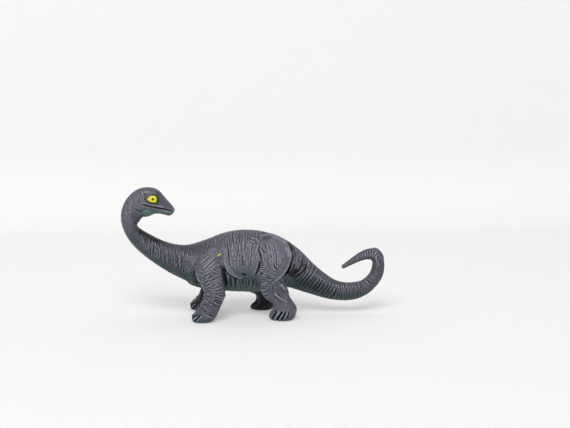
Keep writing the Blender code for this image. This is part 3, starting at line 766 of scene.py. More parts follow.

# %% Shoulder, arm and fore foot
# Long slanting bundles on the shoulder, with painted highlights on their ridges and painted shade between,
# then short level wrinkles down the arm, painted the same way
hatching(((-30.8, 33.0), (-27.1, 35.8), (-22.9, 39.6)), ((-27.6, 25.6), (-24.6, 28.8), (-21.0, 31.6)), 8,
         0.5, 0.34, ANY, (0.7, 0.7), -0.60)
hatching(((-30.4, 32.2), (-26.7, 35.2), (-22.5, 38.9)), ((-27.4, 25.0), (-24.4, 28.2), (-20.8, 31.0)), 7,
         0.5, -0.34, ANY, (0.9, 0.9), 0.20)
LEVEL_UNREST = (0.8, 0.3)
for first, last, copies, width, height, shade in (
        (((-23.2, 30.3), (-18.8, 31.5)), ((-22.2, 18.4), (-18.4, 19.3)), 15, 0.45, 0.30, -0.46),
        (((-23.0, 29.7), (-18.8, 30.9)), ((-22.2, 17.8), (-18.4, 18.7)), 15, 0.42, -0.42, 0.34),
        (((-29.0, 26.0), (-26.2, 27.8)), ((-27.0, 17.8), (-24.4, 19.2)), 9, 0.55, 0.30, -0.38),
        (((-29.0, 25.4), (-26.2, 27.2)), ((-27.0, 17.2), (-24.4, 18.6)), 9, 0.5, -0.42, 0.32),
        (((-25.8, 28.4), (-23.4, 29.6)), ((-24.8, 19.0), (-22.8, 19.8)), 9, 0.5, -0.36, 0.28)):
    hatching(first, last, copies, width, height, LEG, LEVEL_UNREST, shade)
carving.stroke(((-33.1, 28.7), (-32.3, 24.8), (-29.8, 21.8), (-27.7, 17.0)), 0.8, 0.36, ANY, shade=-0.42)
# Wrist and fore foot
hatching(((-22.4, 17.0), (-17.8, 15.8)), ((-22.8, 12.6), (-19.0, 10.4)), 6, 0.55, -0.52, LEG, 0.3, 0.45)
hatching(((-22.4, 16.4), (-17.8, 15.2)), ((-22.8, 12.0), (-19.0, 9.8)), 5, 0.5, 0.28, LEG, 0.3, -0.25)
hatching(((-27.2, 12.4), (-22.1, 9.8)), ((-29.1, 6.4), (-22.6, 2.7)), 11, 0.42, -0.40, LEG, LEVEL_UNREST,
         0.34)
hatching(((-27.4, 11.8), (-22.3, 9.2)), ((-29.3, 5.8), (-22.8, 2.1)), 11, 0.42, 0.26, LEG, LEVEL_UNREST,
         -0.36)
hatching(((-27.9, 16.6), (-24.4, 15.4)), ((-28.4, 12.6), (-25.2, 11.6)), 4, 0.6, 0.24, LEG, shade=-0.2)
print("arm cut, deepest at", round(-carving.height.min() / MM, 2), "mm")

# %% Haunch
# Tufts with painted highlights at its upper front, a smooth middle with long fine lines, level wrinkles down
# its front
for line in (((-1.7, 45.6), (0.8, 44.9), (3.1, 42.6)), ((-3.0, 44.9), (0.3, 42.7), (2.4, 41.4)),
             ((-4.1, 43.8), (-2.3, 42.0)), ((0.6, 45.4), (2.8, 43.6)), ((-2.2, 46.0), (-0.4, 45.0))):
    carving.stroke(line, 0.6, 0.28, ANY, shade=-0.32, least_sideways=0.0)
hatching(((-0.6, 43.2), (1.8, 41.6)), ((1.4, 44.2), (3.0, 42.8)), 3, 0.5, -0.42, shade=0.3)
HAUNCH_LINES = ((2.4, 44.5), (3.4, 37.0), (4.8, 29.5)), ((11.0, 44.6), (13.2, 37.0), (12.6, 27.5))
hatching(*HAUNCH_LINES, 12, 0.45, 0.20, ANY, (0.6, 2.0), -0.22)
hatching(*HAUNCH_LINES, 10, 0.45, -0.30, ANY, (0.6, 2.0), 0.16)
hatching(((5.0, 43.5), (6.4, 40.0)), ((14.0, 42.0), (15.6, 38.0)), 7, 0.5, -0.26, ANY, (0.6, 1.2), 0.15)
hatching(((8.0, 33.5), (9.6, 29.5)), ((15.0, 33.0), (14.6, 29.5)), 6, 0.45, -0.28, ANY, (0.6, 1.0), 0.15)
carving.stroke(((2.1, 42.1), (4.0, 40.0), (5.7, 37.4)), 0.7, -0.42, shade=0.3)
carving.stroke(((1.0, 41.0), (2.6, 38.6), (3.6, 35.6)), 0.8, -0.40, shade=0.25)
hatching(((4.6, 36.5), (7.2, 33.5), (9.6, 29.0)), ((7.0, 39.6), (10.8, 35.0), (14.2, 30.0)), 5, 0.4, 0.14,
         shade=-0.14)
hatching(((4.0, 35.6), (6.6, 32.4), (9.0, 28.2)), ((6.5, 39.0), (10.2, 34.4), (13.6, 29.4)), 6, 0.45, -0.24,
         shade=0.15)
carving.stroke(((8.9, 32.8), (11.2, 30.2), (13.3, 28.1)), 0.8, -0.35, shade=0.25)
hatching(((2.2, 30.6), (4.6, 31.2)), ((3.6, 14.6), (7.2, 15.4)), 13, 0.6, 0.32, ANY, LEVEL_UNREST, -0.52)
hatching(((2.2, 30.0), (4.6, 30.6)), ((3.6, 14.0), (7.2, 14.8)), 13, 0.55, -0.48, ANY, LEVEL_UNREST, 0.28)
hatching(((5.6, 30.0), (7.6, 29.0)), ((7.0, 20.4), (9.4, 19.8)), 8, 0.5, -0.30, ANY, 0.6, 0.2)
hatching(((5.0, 27.0), (8.6, 25.6)), ((6.0, 22.0), (9.0, 21.0)), 5, 0.6, -0.32, shade=0.15)
hatching(((17.0, 27.5), (13.5, 24.8)), ((14.5, 25.0), (9.5, 23.0)), 3, 0.6, -0.25)
print("haunch cut")

# %% Flank
# A fan of fine upright ridges with painted highlights over the panel, and upright folds with painted shade
# under it. Of each tier of the fan: left and right end, top, length and how strong it is
for left, right, top, length, force in (
        (-10.5, -3.5, 46.8, 4.0, 0.55), (-13.2, 0.8, 43.6, 4.2, 0.60), (-13.6, 1.0, 41.4, 4.6, 0.65),
        (-12.4, -0.4, 38.8, 4.4, 0.75), (-11.4, -2.4, 35.6, 4.2, 0.80)):
    hatching(((left, top), (left + 0.9, top - length)),
             ((right, top - 0.8), (right - 0.8, top - length - 0.6)),
             round((right - left) / 1.1), 0.45, 0.30 * force, unrest=0.9, shade=-0.42 * force)
    hatching(((left + 0.8, top), (left + 1.6, top - length)),
             ((right, top - 1), (right - 0.9, top - length - 1)),
             round((right - left) / 1.3), 0.45, -0.38 * force, unrest=0.9, shade=0.20 * force)
hatching(((-10.5, 35.5), (-10.0, 29.0)), ((-2.5, 35.5), (-3.4, 28.5)), 9, 0.45, -0.20, shade=0.15)
# Painted shade over the lower part of the panel
carving.stroke(((-13.0, 30.5), (-10.5, 28.0), (-7.0, 26.8), (-3.0, 27.4), (-0.6, 30.0)), 3.6, 0.0, BODY,
               shade=0.22)
hatching(((-17.4, 27.6), (-16.0, 18.6)), ((-10.6, 24.0), (-10.4, 18.6)), 7, 0.75, -0.60, BODY, 0.35, 0.75)
hatching(((-16.6, 27.2), (-15.4, 18.6)), ((-10.0, 23.6), (-9.8, 18.6)), 7, 0.55, 0.28, BODY, 0.35, -0.3)
hatching(((-9.0, 23.4), (-8.8, 19.6)), ((1.6, 25.0), (1.0, 18.6)), 8, 0.7, -0.40, BODY, (0.6, 1.0), 0.3)
print("flank cut")

# %% Neck, back, chest and tail
# Lower half of the neck, the back, and the chest before the arm
hatching(((-57.5, 41.5), (-58.0, 36.0)), ((-38.5, 37.5), (-38.0, 27.0)), 15, 0.8, -0.28, BODY, (0.5, 1.4),
         0.40)
hatching(((-56.9, 41.5), (-57.4, 36.0)), ((-37.9, 37.5), (-37.4, 27.0)), 14, 0.6, 0.20, BODY, (0.5, 1.4),
         -0.2)
hatching(((-22.0, 46.0), (-20.0, 41.5)), ((-9.0, 48.4), (-8.4, 44.8)), 12, 0.6, -0.22)
hatching(((-21.4, 44.5), (-22.6, 39.5)), ((-10.0, 47.4), (-10.5, 43.5)), 9, 0.6, 0.20, shade=-0.12)
hatching(((-44.0, 39.6), (-43.0, 34.6)), ((-33.4, 37.5), (-33.6, 31.5)), 9, 0.55, 0.16, BODY, shade=-0.16)
hatching(((-38.0, 34.0), (-36.5, 28.0)), ((-33.4, 31.5), (-32.8, 25.0)), 5, 0.7, -0.30, BODY, shade=0.1)
hatching(((-35.8, 27.2), (-34.2, 22.6), (-31.2, 18.8)), ((-34.2, 28.6), (-33.6, 24.6), (-30.6, 20.2)), 3, 0.9,
         -0.55, BODY, shade=0.5)
# Deep arcs with painted shade in them where the tail leaves the haunch, with painted highlights beside them,
# which go over into folds with painted shade under the tail
ARCS = (((20.9, 33.0), (19.8, 29.2), (17.9, 25.4)), ((22.8, 31.3), (21.4, 27.5), (18.5, 24.8)),
        ((24.1, 29.1), (22.0, 25.9), (18.7, 23.7)), ((27.1, 33.4), (27.0, 30.2), (24.7, 26.9), (20.9, 24.3)),
        ((29.4, 31.0), (29.0, 28.0), (26.4, 25.3), (22.4, 22.2)), ((25.7, 28.0), (23.0, 25.3), (20.4, 22.6)))
for arc in ARCS:
    carving.stroke(arc, 1.25, -0.80, BODY, shade=2.1, least_sideways=0.0)
    carving.stroke([(x + 0.9, z + 0.5) for x, z in arc[:3]], 0.6, 0.34, BODY, shade=-0.60)
hatching(((27.8, 27.6), (24.4, 23.8), (20.6, 19.7)), ((46.8, 16.0), (44.9, 12.2), (42.6, 9.8)), 13, 0.8,
         -0.48, BODY, shade=1.2, least_sideways=0.0)
hatching(((21.5, 40.0), (23.2, 36.6), (23.4, 32.6)), ((34.0, 29.4), (33.6, 26.0), (31.0, 22.6)), 7, 0.7,
         -0.38, BODY, (0.6, 0.8), 0.6, least_sideways=0.0)
hatching(((22.3, 40.2), (24.0, 36.8), (24.2, 32.8)), ((34.8, 29.6), (34.4, 26.2), (31.8, 22.8)), 7, 0.5,
         0.24, BODY, (0.6, 0.8), -0.3, least_sideways=0.0)
hatching(((24.6, 25.2), (21.4, 22.4), (18.8, 20.4)), ((31.4, 22.4), (28.6, 18.6), (26.2, 16.4)), 6, 0.6,
         -0.34, BODY, shade=0.6, least_sideways=0.0)
# Short wrinkles with painted highlights along the crest of the tail's side, where the light falls on it
CREST_STEPS = ((((29.5, 28.6), (30.0, 25.2)), ((39.8, 20.3), (40.3, 17.8)), 8),
               (((40.9, 20.0), (41.4, 17.3)), ((49.0, 17.0), (49.3, 15.0)), 6),
               (((50.2, 17.2), (50.5, 15.0)), ((61.2, 19.0), (63.2, 15.4)), 8),
               (((62.4, 20.2), (65.2, 17.2)), ((67.4, 25.1), (70.8, 23.2)), 5),
               (((68.5, 28.0), (72.4, 27.6)), ((69.1, 36.6), (67.5, 32.3)), 7),
               (((67.4, 37.2), (66.4, 33.2)), ((58.2, 33.8), (59.6, 31.6)), 7))
for first, last, copies in CREST_STEPS:
    hatching(first, last, copies, 0.6, 0.24, BODY, shade=-0.42)
print("neck and tail cut")

# %% Single folds and ridges
for line, width, height, shade in (
        # Folds behind the arm and under the flank
        (((-17.9, 31), (-17.2, 25.5), (-16.4, 22.5), (-16.6, 17.5)), 1.4, -0.75, 0.9),
        (((-15.3, 43), (-14.8, 39), (-14.5, 33)), 1.0, -0.40, 0.3),
        (((2.6, 34.5), (2.2, 31.4), (1.2, 28.0), (-0.4, 25.2)), 1.2, -0.60, 0.8),
        (((-0.9, 23.6), (-0.9, 19.1)), 0.9, -0.42, 0.35),
        # The panel's rim, and the pits and slit inside it
        (((-17.4, 35.8), (-16.5, 31.5), (-15.2, 28.2), (-12.4, 26.2), (-9.0, 24.4), (-4.7, 24.3)), 0.8, 0.40,
         -0.4),
        (((-14.9, 35), (-13.8, 31), (-12.0, 28.4), (-9.8, 26.8), (-7.6, 26.0)), 0.7, -0.24, 0.15),
        (((-16.2, 34.5), (-15.0, 30.6), (-13.6, 28.6), (-11.4, 27.0)), 0.5, 0.2, -0.15),
        (((-17.6, 30.5), (-16.2, 27.4), (-14.0, 25.2), (-11.6, 23.9), (-8.6, 22.9)), 0.8, -0.50, 0.6),
        (((-3.0, 24.8), (-0.6, 27.2), (1.0, 30.5), (2.6, 35)), 0.9, 0.22, -0.1),
        # Upper line of the haunch with a broad darkening over its top, its rim behind and below with a
        # painted highlight on it and painted shade beyond it, and painted highlights on its rounded rear
        (((2.0, 45.4), (9.0, 46.2), (16.5, 42.6)), 4.0, 0.0, 0.10),
        (((1.5, 46.2), (6.8, 46.7), (11.8, 45.6), (16.3, 43.1), (18.6, 40.6)), 0.8, 0.26, -0.42),
        (((2.5, 47.0), (7.0, 47.6), (12.2, 46.5), (17.0, 43.9)), 0.7, -0.16, 0.2),
        (((18.0, 41.6), (19.4, 37.4), (19.1, 33.5), (17.7, 29.8), (14.8, 26.2), (11.8, 23.4), (8.3, 21.2)),
         1.0, 0.50, -0.55),
        (((18.6, 43.8), (20.8, 39.6), (21.3, 36), (20.8, 32.6), (19.4, 28.8), (16.6, 25.0)), 1.6, -0.9, 1.8),
        (((16.6, 41.4), (18.2, 38.8), (18.5, 35.2)), 1.3, 0.14, -0.55),
        (((14.3, 36.6), (16.0, 36.6)), 0.9, 0.12, -0.3),
        (((13.5, 34.4), (14.7, 32.3)), 0.8, 0.12, -0.25),
        (((11.0, 39.0), (13.4, 38.4)), 0.9, 0.08, -0.15),
        # Knee, tendon and hock, with painted highlights on the knee and along the ridges
        (((13.6, 21.2), (15.0, 19.4), (16.6, 17.8)), 1.2, 0.32, -0.45),
        (((9.6, 21.4), (9.4, 18.8), (9.8, 15.8)), 0.7, -0.30, 0.2),
        (((12.0, 17.6), (13.0, 15.0), (14.6, 12.8)), 0.6, -0.18, 0.12),
        (((16.4, 15.4), (17.0, 13.0), (18.4, 11.0)), 0.6, 0.20, -0.25),
        (((13.4, 19.6), (14.8, 17.6), (16.0, 15.8)), 0.7, -0.26, 0.2),
        (((10.2, 16.4), (12.4, 14.1), (15.6, 12.0), (18.2, 9.8)), 0.7, 0.26, -0.45),
        (((10.0, 14.4), (12.4, 11.9), (14.6, 10.3)), 0.6, -0.26, 0.2),
        (((15.6, 10.2), (17.8, 8.6)), 0.5, 0.24, -0.30),
        (((18.6, 15.2), (19.2, 12.6), (20.0, 10.4)), 0.9, -0.26, 0.12),
        # Odd deep rings of the tail
        (((46.4, 15.0), (45.0, 12.0), (42.6, 9.4)), 0.8, -0.45, 0.7),
        (((66.8, 32.6), (69.6, 35.8)), 0.6, 0.24, -0.6),
        (((68.0, 32.4), (70.8, 35.0)), 0.6, 0.24, -0.5),
        (((67.4, 32.5), (70.2, 35.4)), 0.5, -0.24, 0.4),
        (((42.6, 15.8), (40.6, 12.4)), 0.7, -0.34, 0.4),
        (((63.6, 20.0), (67.0, 17.2)), 0.7, -0.36, 0.35),
        (((66.2, 23.6), (69.6, 21.4)), 0.6, -0.30, 0.3),
        (((56.5, 16.2), (56.3, 13.0)), 0.6, -0.28, 0.3),
        (((52.4, 15.2), (52.0, 12.2)), 0.6, -0.26, 0.3),
        # Throat, the fold where the neck turns up, a dark band along the neck's back, painted shade along the
        # underside of neck and chest and under the tail's root, and marks on the neck
        (((-66.4, 62.5), (-64.1, 61.0), (-61.4, 59.0)), 0.8, -0.5, 0.5),
        (((-65.8, 52.0), (-60.6, 47.2), (-54.0, 44.2), (-46.5, 41.8)), 2.8, -0.10, 0.75),
        (((-71.0, 50.0), (-64.0, 40.8), (-52.0, 32.6), (-40.0, 25.4), (-33.5, 21.0)), 5.0, 0.0, 0.14),
        (((21.0, 20.6), (28.0, 18.4), (38.0, 14.6)), 5.0, 0.0, 0.30),
        (((-64.3, 50.8), (-63.6, 49.4), (-63.4, 47.6)), 0.95, -0.45, 0.8),
        (((-60.4, 46.0), (-60.7, 43.4)), 0.85, -0.42, 0.9),
        (((-59.0, 45.6), (-59.7, 42.6)), 0.75, -0.38, 0.7),
        (((-57.6, 45.5), (-57.9, 42.9)), 0.85, -0.44, 0.9),
        (((-56.2, 44.8), (-55.7, 42.4)), 0.75, -0.38, 0.7),
        (((-54.8, 44.3), (-54.0, 41.5)), 0.85, -0.44, 0.9),
        (((-53.4, 42.8), (-52.6, 40.2)), 0.75, -0.36, 0.6),
        (((-50.7, 40.6), (-51.0, 37.0)), 0.7, -0.34, 0.35),
        (((-61.5, 44.5), (-61.9, 42.0)), 0.6, 0.20, -0.15),
        (((-58.4, 45.2), (-59.1, 43.0)), 0.6, 0.26, -0.3),
        (((-56.9, 44.4), (-56.6, 42.8)), 0.6, 0.26, -0.3),
        (((-55.4, 43.4), (-54.9, 41.4)), 0.6, 0.24, -0.3),
        (((-62.4, 47.5), (-62.6, 45.6)), 0.7, 0.2, -0.2)):
    carving.stroke(line, width, height, ANY, shade=shade, least_sideways=0.0)
print("single folds cut, deepest at", round(-carving.height.min() / MM, 2), "mm")

# %% Strokes at full strength up to their ends
for line, width, height, where, shade in (
        # The chest's fold hangs before the arm
        (((-35.0, 19.6), (-32.4, 18.2), (-29.0, 17.6)), 4.6, 1.5, BODY, 0.0),
        # The neck's crook is sharp, and the mould left a nib on its outer edge
        (((-65.8, 53.6), (-64.4, 52.2)), 2.0, -0.5, BODY, 0.0),
        (((-74.5, 54.4), (-74.5, 54.8)), 0.8, 0.45, BODY, 0.0),
        # The tail's curl turns a corner at its top
        (((69.3, 37.2), (71.6, 35.6), (73.0, 32.8)), 3.4, 0.90, BODY, 0.0),
        (((74.0, 30.6), (74.6, 28.6)), 4.0, 0.30, BODY, 0.0),
        # The near ankle is hollow in front, the hock is pinched in behind, and the heel bulges under it
        (((8.4, 10.8), (9.6, 8.8)), 3.2, -1.3, HIND_LEFT, 0.0),
        (((19.3, 14.0), (19.3, 12.6)), 2.6, -0.40, HIND_LEFT, 0.0),
        (((22.6, 8.2), (22.9, 6.0)), 2.8, 0.40, HIND_LEFT, 0.0),
        # A slit and two pits lie in the flank's panel
        (((-6.8, 33.9), (-6.7, 31.8)), 0.6, -0.35, BODY, 0.7),
        (((-7.0, 26.6), (-5.7, 26.2)), 1.2, -0.6, BODY, 1.7),
        (((-6.4, 24.3), (-4.9, 23.9)), 0.9, -0.4, BODY, 1.0),
        # Claws of the near fore foot
        (((-35.3, 1.4), (-34.2, 3.8), (-32.4, 4.6)), 0.8, -0.5, ANY, 1.6),
        (((-33.4, 1.6), (-30.8, 4.9)), 0.8, -0.5, ANY, 1.6),
        (((-34.5, 1.4), (-33.4, 3.4), (-31.9, 3.9)), 0.7, 0.35, ANY, -0.9),
        (((-32.6, 1.4), (-30.2, 4.4)), 0.7, 0.35, ANY, -0.8),
        # The clefts between the toes of the near hind foot with painted shade in them, and painted highlights
        # on the toes
        (((11.2, 5.6), (9.2, 1.0)), 0.9, -0.7, HIND_LEFT, 2.0),
        (((14.4, 5.4), (11.6, 0.6)), 1.0, -0.8, HIND_LEFT, 2.2),
        (((16.4, 5.0), (14.2, 0.8)), 1.0, -0.8, HIND_LEFT, 2.2),
        (((18.6, 5.2), (17.6, 2.4)), 0.8, -0.6, HIND_LEFT, 1.5),
        (((12.6, 5.8), (10.4, 1.6)), 0.7, 0.25, HIND_LEFT, -0.6),
        (((15.2, 5.6), (12.9, 1.4)), 0.7, 0.25, HIND_LEFT, -0.6),
        (((17.2, 5.4), (15.6, 1.8)), 0.7, 0.20, HIND_LEFT, -0.5)):
    carving.stroke(line, width, height, where, shade=shade, least_sideways=-1.0, fade=False)
print("full strokes cut")

# %% [markdown]
# ## Toes
#
# A foot is a rounded block with toes only hinted at: grooves that run down its front and sides and lean a
# little backwards, with a swelling between each two. They are placed by how far round the foot they lie.

# %% Toes round each foot
# Of each groove: degrees from the foot's front, and depth. Of each foot: its grooves, their lean in degrees
# per millimetre, and how high they reach in millimetres
FORE_TOES = ((8, 1.0), (33, 1.1), (58, 0.7)), 6.0, 5.2
HIND_TOES = ((16, 0.8), (43, 0.9), (69, 0.7), (90, 0.3)), 4.2, 6.0
for number, (toes, lean, top) in enumerate((FORE_TOES, FORE_TOES, HIND_TOES, HIND_TOES)):
    on_foot = (address.leg == number) & (address.leg_height < 0.3)
    level = address.z[on_foot] / MM
    turn = np.degrees(np.abs(address.leg_round[on_foot])) - lean * (level - 3.0)
    window = smooth_step((level - 0.2) / 1.0) * smooth_step((top - level) / 1.8)
    window *= smooth_step((toes[-1][0] + 16 - turn) / 12)
    cleft = sum(depth * groove(turn - place, 5.0) for place, depth in toes)
    carving.height[on_foot] += window * (0.25 - 1.1 * cleft) * MM
    # Shade is painted into the clefts, and a faint highlight on the toes between them
    carving.shade[on_foot] += window * (1.1 * cleft - 0.15)
print("toes cut on", len(LEGS), "feet")

# %% [markdown]
# ## The head
#
# The face is small, but it is where the eye of the beholder goes. It has a long mouth line that ends in a
# pouch of skin, a brow that stands over the eye and runs down behind it, a lid round the eye, a nostril and
# a fold under the jaw. All of them are strokes again, only finer.

# %% Face
EYE_LINE = ((-59.9, 67.5), (-58.5, 69.4), (-56.3, 70.1), (-54.2, 69.6), (-53.2, 66.8), (-53.8, 65.0),
            (-56.0, 65.0), (-58.3, 65.5))
for line, width, height, shade in (
        # The mouth, with its lips above and below
        (((-61.8, 64.5), (-59.1, 63.7), (-55.6, 62.9), (-51.2, 61.9), (-47.7, 61.0), (-45.0, 59.5)), 0.9,
         -0.60, 1.0),
        (((-61.0, 65.3), (-58.0, 64.6), (-53.0, 63.3), (-49.0, 62.4)), 0.8, 0.20, -0.1),
        (((-60.5, 62.8), (-56.0, 61.8), (-51.0, 60.8), (-47.5, 60.0)), 0.8, 0.16, -0.05),
        (((-62.8, 64.4), (-61.6, 65.6), (-60.0, 65.6)), 0.8, 0.22, -0.22),
        # Brow with painted highlights, and the skin round the eye
        (((-61.2, 71.2), (-59.8, 71.4), (-57.8, 71.3)), 0.75, 0.28, -0.6),
        (((-57.8, 71.2), (-55.6, 70.8), (-53.6, 70.0)), 1.0, 0.30, -0.1),
        (((-61.6, 71.9), (-61.9, 69.4)), 0.7, 0.26, -0.45),
        (((-61.0, 70.0), (-59.4, 70.2)), 0.8, -0.25, 0.35),
        (((-60.5, 69.4), (-60.7, 68.2), (-60.2, 66.8)), 0.6, -0.22, 0.2),
        (((-54.6, 71.4), (-53.2, 70.6), (-51.8, 69.0)), 0.8, -0.34, 0.55),
        # Cheek, snout and jaw with painted highlights, the nostril, and the fold behind the jaw
        (((-57.4, 64.2), (-53.6, 64.0), (-49.4, 63.1)), 1.1, 0.12, -0.28),
        (((-48.4, 66.0), (-46.8, 64.8), (-45.6, 63.8)), 0.9, 0.12, -0.3),
        (((-55.5, 60.9), (-51.5, 60.2), (-48.0, 59.6)), 0.8, 0.10, -0.25),
        (((-52.6, 67.0), (-51.6, 65.6), (-50.0, 64.6)), 0.7, -0.18, 0.1),
        (((-48.0, 64.2), (-47.2, 63.7)), 0.6, -0.28, 0.4),
        (((-63.6, 69.8), (-63.8, 66.6), (-63.2, 64.0)), 0.7, -0.22, 0.15)):
    carving.stroke(line, width, height, BODY, shade=shade, least_sideways=0.0)
for line, width, height, shade in (
        (((-48.9, 61.6), (-46.6, 60.8), (-45.4, 59.8), (-44.6, 58.6)), 0.7, -0.5, 0.5),
        (((-61.9, 64.5), (-60.4, 64.1), (-58.8, 63.8)), 0.9, -0.3, 0.5),
        (EYE_LINE + EYE_LINE[:1], 1.0, 0.10, 0.9)):
    carving.stroke(line, width, height, BODY, shade=shade, least_sideways=0.0, fade=False)
# Dark rings with painted shade and light rings with painted highlights on the upper neck
hatching(((-68.6, 60.6), (-64.2, 59.0)), ((-67.0, 55.4), (-63.6, 54.2)), 8, 0.5, -0.20, BODY, shade=0.1)
hatching(((-69.6, 67.7), (-67.4, 66.0)), ((-72.0, 60.2), (-69.0, 59.8)), 7, 0.6, 0.14, BODY, shade=-0.14)
# Slanting streaks down the neck's outer side
for x, z, height, shade in ((-71.2, 67.2, 0.10, -0.20), (-70.4, 66.6, -0.12, 0.14),
                            (-68.4, 68.6, 0.10, -0.18), (-67.4, 68.0, -0.12, 0.16)):
    hatching(((x, z), (x + 1.2, z - 3.0)), ((x - 1.1, z - 9.0), (x, z - 12.4)), 7, 0.85, height, BODY,
             (0.7, 0.5), shade)
print("face cut, deepest at", round(-carving.height.min() / MM, 2), "mm")

# %% [markdown]
# ## Mould marks, flat soles and the last press
#
# The two halves of the mould leave a hair-fine ridge along the figure's middle. The soles stand on the
# table, so whatever the tools pushed below it is set back to the table's plane.

# %% Parting line and soles
PARTING_WIDTH, PARTING_HEIGHT = 0.16, 0.05

parting = groove(carving.places[:, 1], PARTING_WIDTH * MM) * (1 - leg_share)
carving.height += PARTING_HEIGHT * parting * MM
carving.press()
carving.places[:, 2] = np.maximum(carving.places[:, 2], 0.0)
move_points(clay, carving.places)
print("clay in mm, from", np.round(carving.places.min(axis=0) / MM, 1),
      "to", np.round(carving.places.max(axis=0) / MM, 1))

# %% [markdown]
# ## What the paint needs to know
#
# Paint is sprayed and worn thin on every crest, where a highlight is also painted, and shade is painted into
# every fold. A material can't see far round its own point, but the mesh can: the skin is copied and smoothed,
# and how far each point stands above or below the smoothed copy is kept as an attribute of the mesh. A
# second, wider smoothing tells the big folds. The material reads both. A third attribute says where the spray
# did not
# reach and the green plastic is bare: the belly, the throat and the undersides of neck and tail. Others hold
# the painted shade and highlights of the strokes, the painted shade inside the legs and the tone of each
# region, the thin spray on the jaw, the second coat along the back and the smear.

# %% Relief
# So many rounds of smoothing leave out the wrinkles, or also the folds
FINE_ROUNDS, WIDE_ROUNDS = 12, 90


def relief_over(rounds):
    """How far each point stands above the smoothed skin, in millimetres."""
    soft = np.stack([smoothed(column, rounds) for column in carving.places.T], axis=1)
    return ((carving.places - soft) * carving.normals).sum(axis=1) / MM


def keep_attribute(piece, name, values):
    layer = piece.data.attributes.new(name, "FLOAT", "POINT")
    layer.data.foreach_set("value", values.astype(np.float32))


fine_relief = relief_over(FINE_ROUNDS)
wide_relief = relief_over(WIDE_ROUNDS)
keep_attribute(clay, "fine_relief", fine_relief)
keep_attribute(clay, "wide_relief", wide_relief)
for title, relief in (("fine", fine_relief), ("wide", wide_relief)):
    print(title, "relief in mm, 5th and 95th of 100:", np.round(np.percentile(relief, (5, 95)), 3))

# %% [markdown]
# ## Bare plastic
#
# The spray came from above and from the sides, in bursts. So the mask of the bare plastic follows how far
# round the body a point lies, with an edge that noise breaks up. Small patches are bare or thin on the jaw,
# on the throat and in the crook of the neck.

# %% Where the spray did not reach
BARE_ROWS = (0, 17, 20, 22, 27, 31, 34, 37, 40, 43, 45, 47, 58)
# How far round from the back, in degrees, the spray reached at each of these rows
SPRAYED_TO = (230, 220, 130, 114, 112, 106, 96, 76, 80, 90, 112, 180, 230)
# Middle, half length and height in millimetres of each small patch, how bare it is, and how much lighter
PATCHES = ((-59.5, 60.4, 5.5, 3.0, 1.0, 0.10), (-65.6, 46.8, 4.0, 6.0, 0.55, 0.05),
           (-66.0, 57.5, 3.0, 3.6, 0.35, 0.0), (-50.5, 60.2, 5.0, 1.4, 0.5, 0.3))

address = Address(carving.places)
row, leg_share, body_share = address.row, address.leg_share, 1 - address.leg_share
around = np.abs(address.round)
cloud = place_noise((6, 5, 4))
ragged = place_noise((1.8, 2, 1.8), (0, 7, 0))
reached = np.radians(np.interp(row, BARE_ROWS, SPRAYED_TO))
bare = smooth_step((around - reached + 0.25 * cloud) / 0.9 + 0.5) * body_share
sole_edge = smooth_step((6.0 * MM - address.z + 1.5 * MM * cloud) / (4.5 * MM)) * leg_share
bare = np.maximum(bare, 0.6 * sole_edge)
for x, z, half_length, half_height, share, lightness in PATCHES:
    spot = oval(x, z, half_length, half_height)
    spot = smooth_step(1.5 * spot + 0.9 * ragged - 0.4) * smooth_step(spot * 2)
    bare = np.maximum(bare, share * spot)
    carving.shade -= lightness * spot
keep_attribute(clay, "bare", bare)
print("bare share of the skin:", round(float(bare.mean()), 2))

# %% Thin spray on the jowl and the lower jaw, where the lighter plastic shines through
jowl = np.hypot((address.x / MM + 58.8) / 6.5, (address.z / MM - 59.6) / 3.6)
jowl = smooth_step(np.clip(1 - jowl, 0, 1) / 0.8)
thin = np.maximum(jowl * (0.75 + 0.3 * ragged), 0.35 * oval(-49.5, 59.6, 6.0, 1.6))
keep_attribute(clay, "thin", thin)
print("thin share of the skin:", round(float(thin.mean()), 3))

# %% Painted shade inside the legs, and a tone for each region
# Neck, tail and feet are painted darker, and shoulder, flank and haunch lighter
TONE_ROWS, TONES = (10, 14, 18, 25, 29, 34, 38, 58), (0.0, 0.0, 0.11, 0.14, -0.10, -0.10, 0.13, 0.14)
LEG_HEIGHTS, LEG_TONES = (0.0, 0.3, 0.45, 0.7, 1.0), (0.12, 0.13, 0.12, -0.06, -0.08)
# How much shade is painted inside the fore and the hind legs
FORE_LEG_PAINTED_SHADE, HIND_LEG_PAINTED_SHADE = 0.7, 1.4

on_left_side = np.isin(address.leg, (FORE_LEFT, HIND_LEFT))
inward = -carving.normals[:, 1] * np.where(on_left_side, LEFT, RIGHT)
# Shade is painted where the legs face each other, and on the far hind leg, in shadow under the belly, also on
# its front and back
inside = smooth_step(inward * 1.4 + np.where(address.leg == HIND_RIGHT, 0.5, -0.1)) * leg_share
inside *= smooth_step((0.75 - address.leg_height) / 0.2)
hind_leg = address.leg >= HIND_LEFT
carving.shade += inside * np.where(hind_leg, HIND_LEG_PAINTED_SHADE, FORE_LEG_PAINTED_SHADE)
carving.shade += np.interp(row, TONE_ROWS, TONES) * body_share
leg_tone = np.interp(address.leg_height, LEG_HEIGHTS, LEG_TONES)
leg_tone -= 0.05 * hind_leg * smooth_step((address.leg_height - 0.5) / 0.2)
carving.shade += leg_tone * leg_share
keep_attribute(clay, "shade", carving.shade)
print("shade from", round(float(carving.shade.min()), 1), "to", round(float(carving.shade.max()), 1))

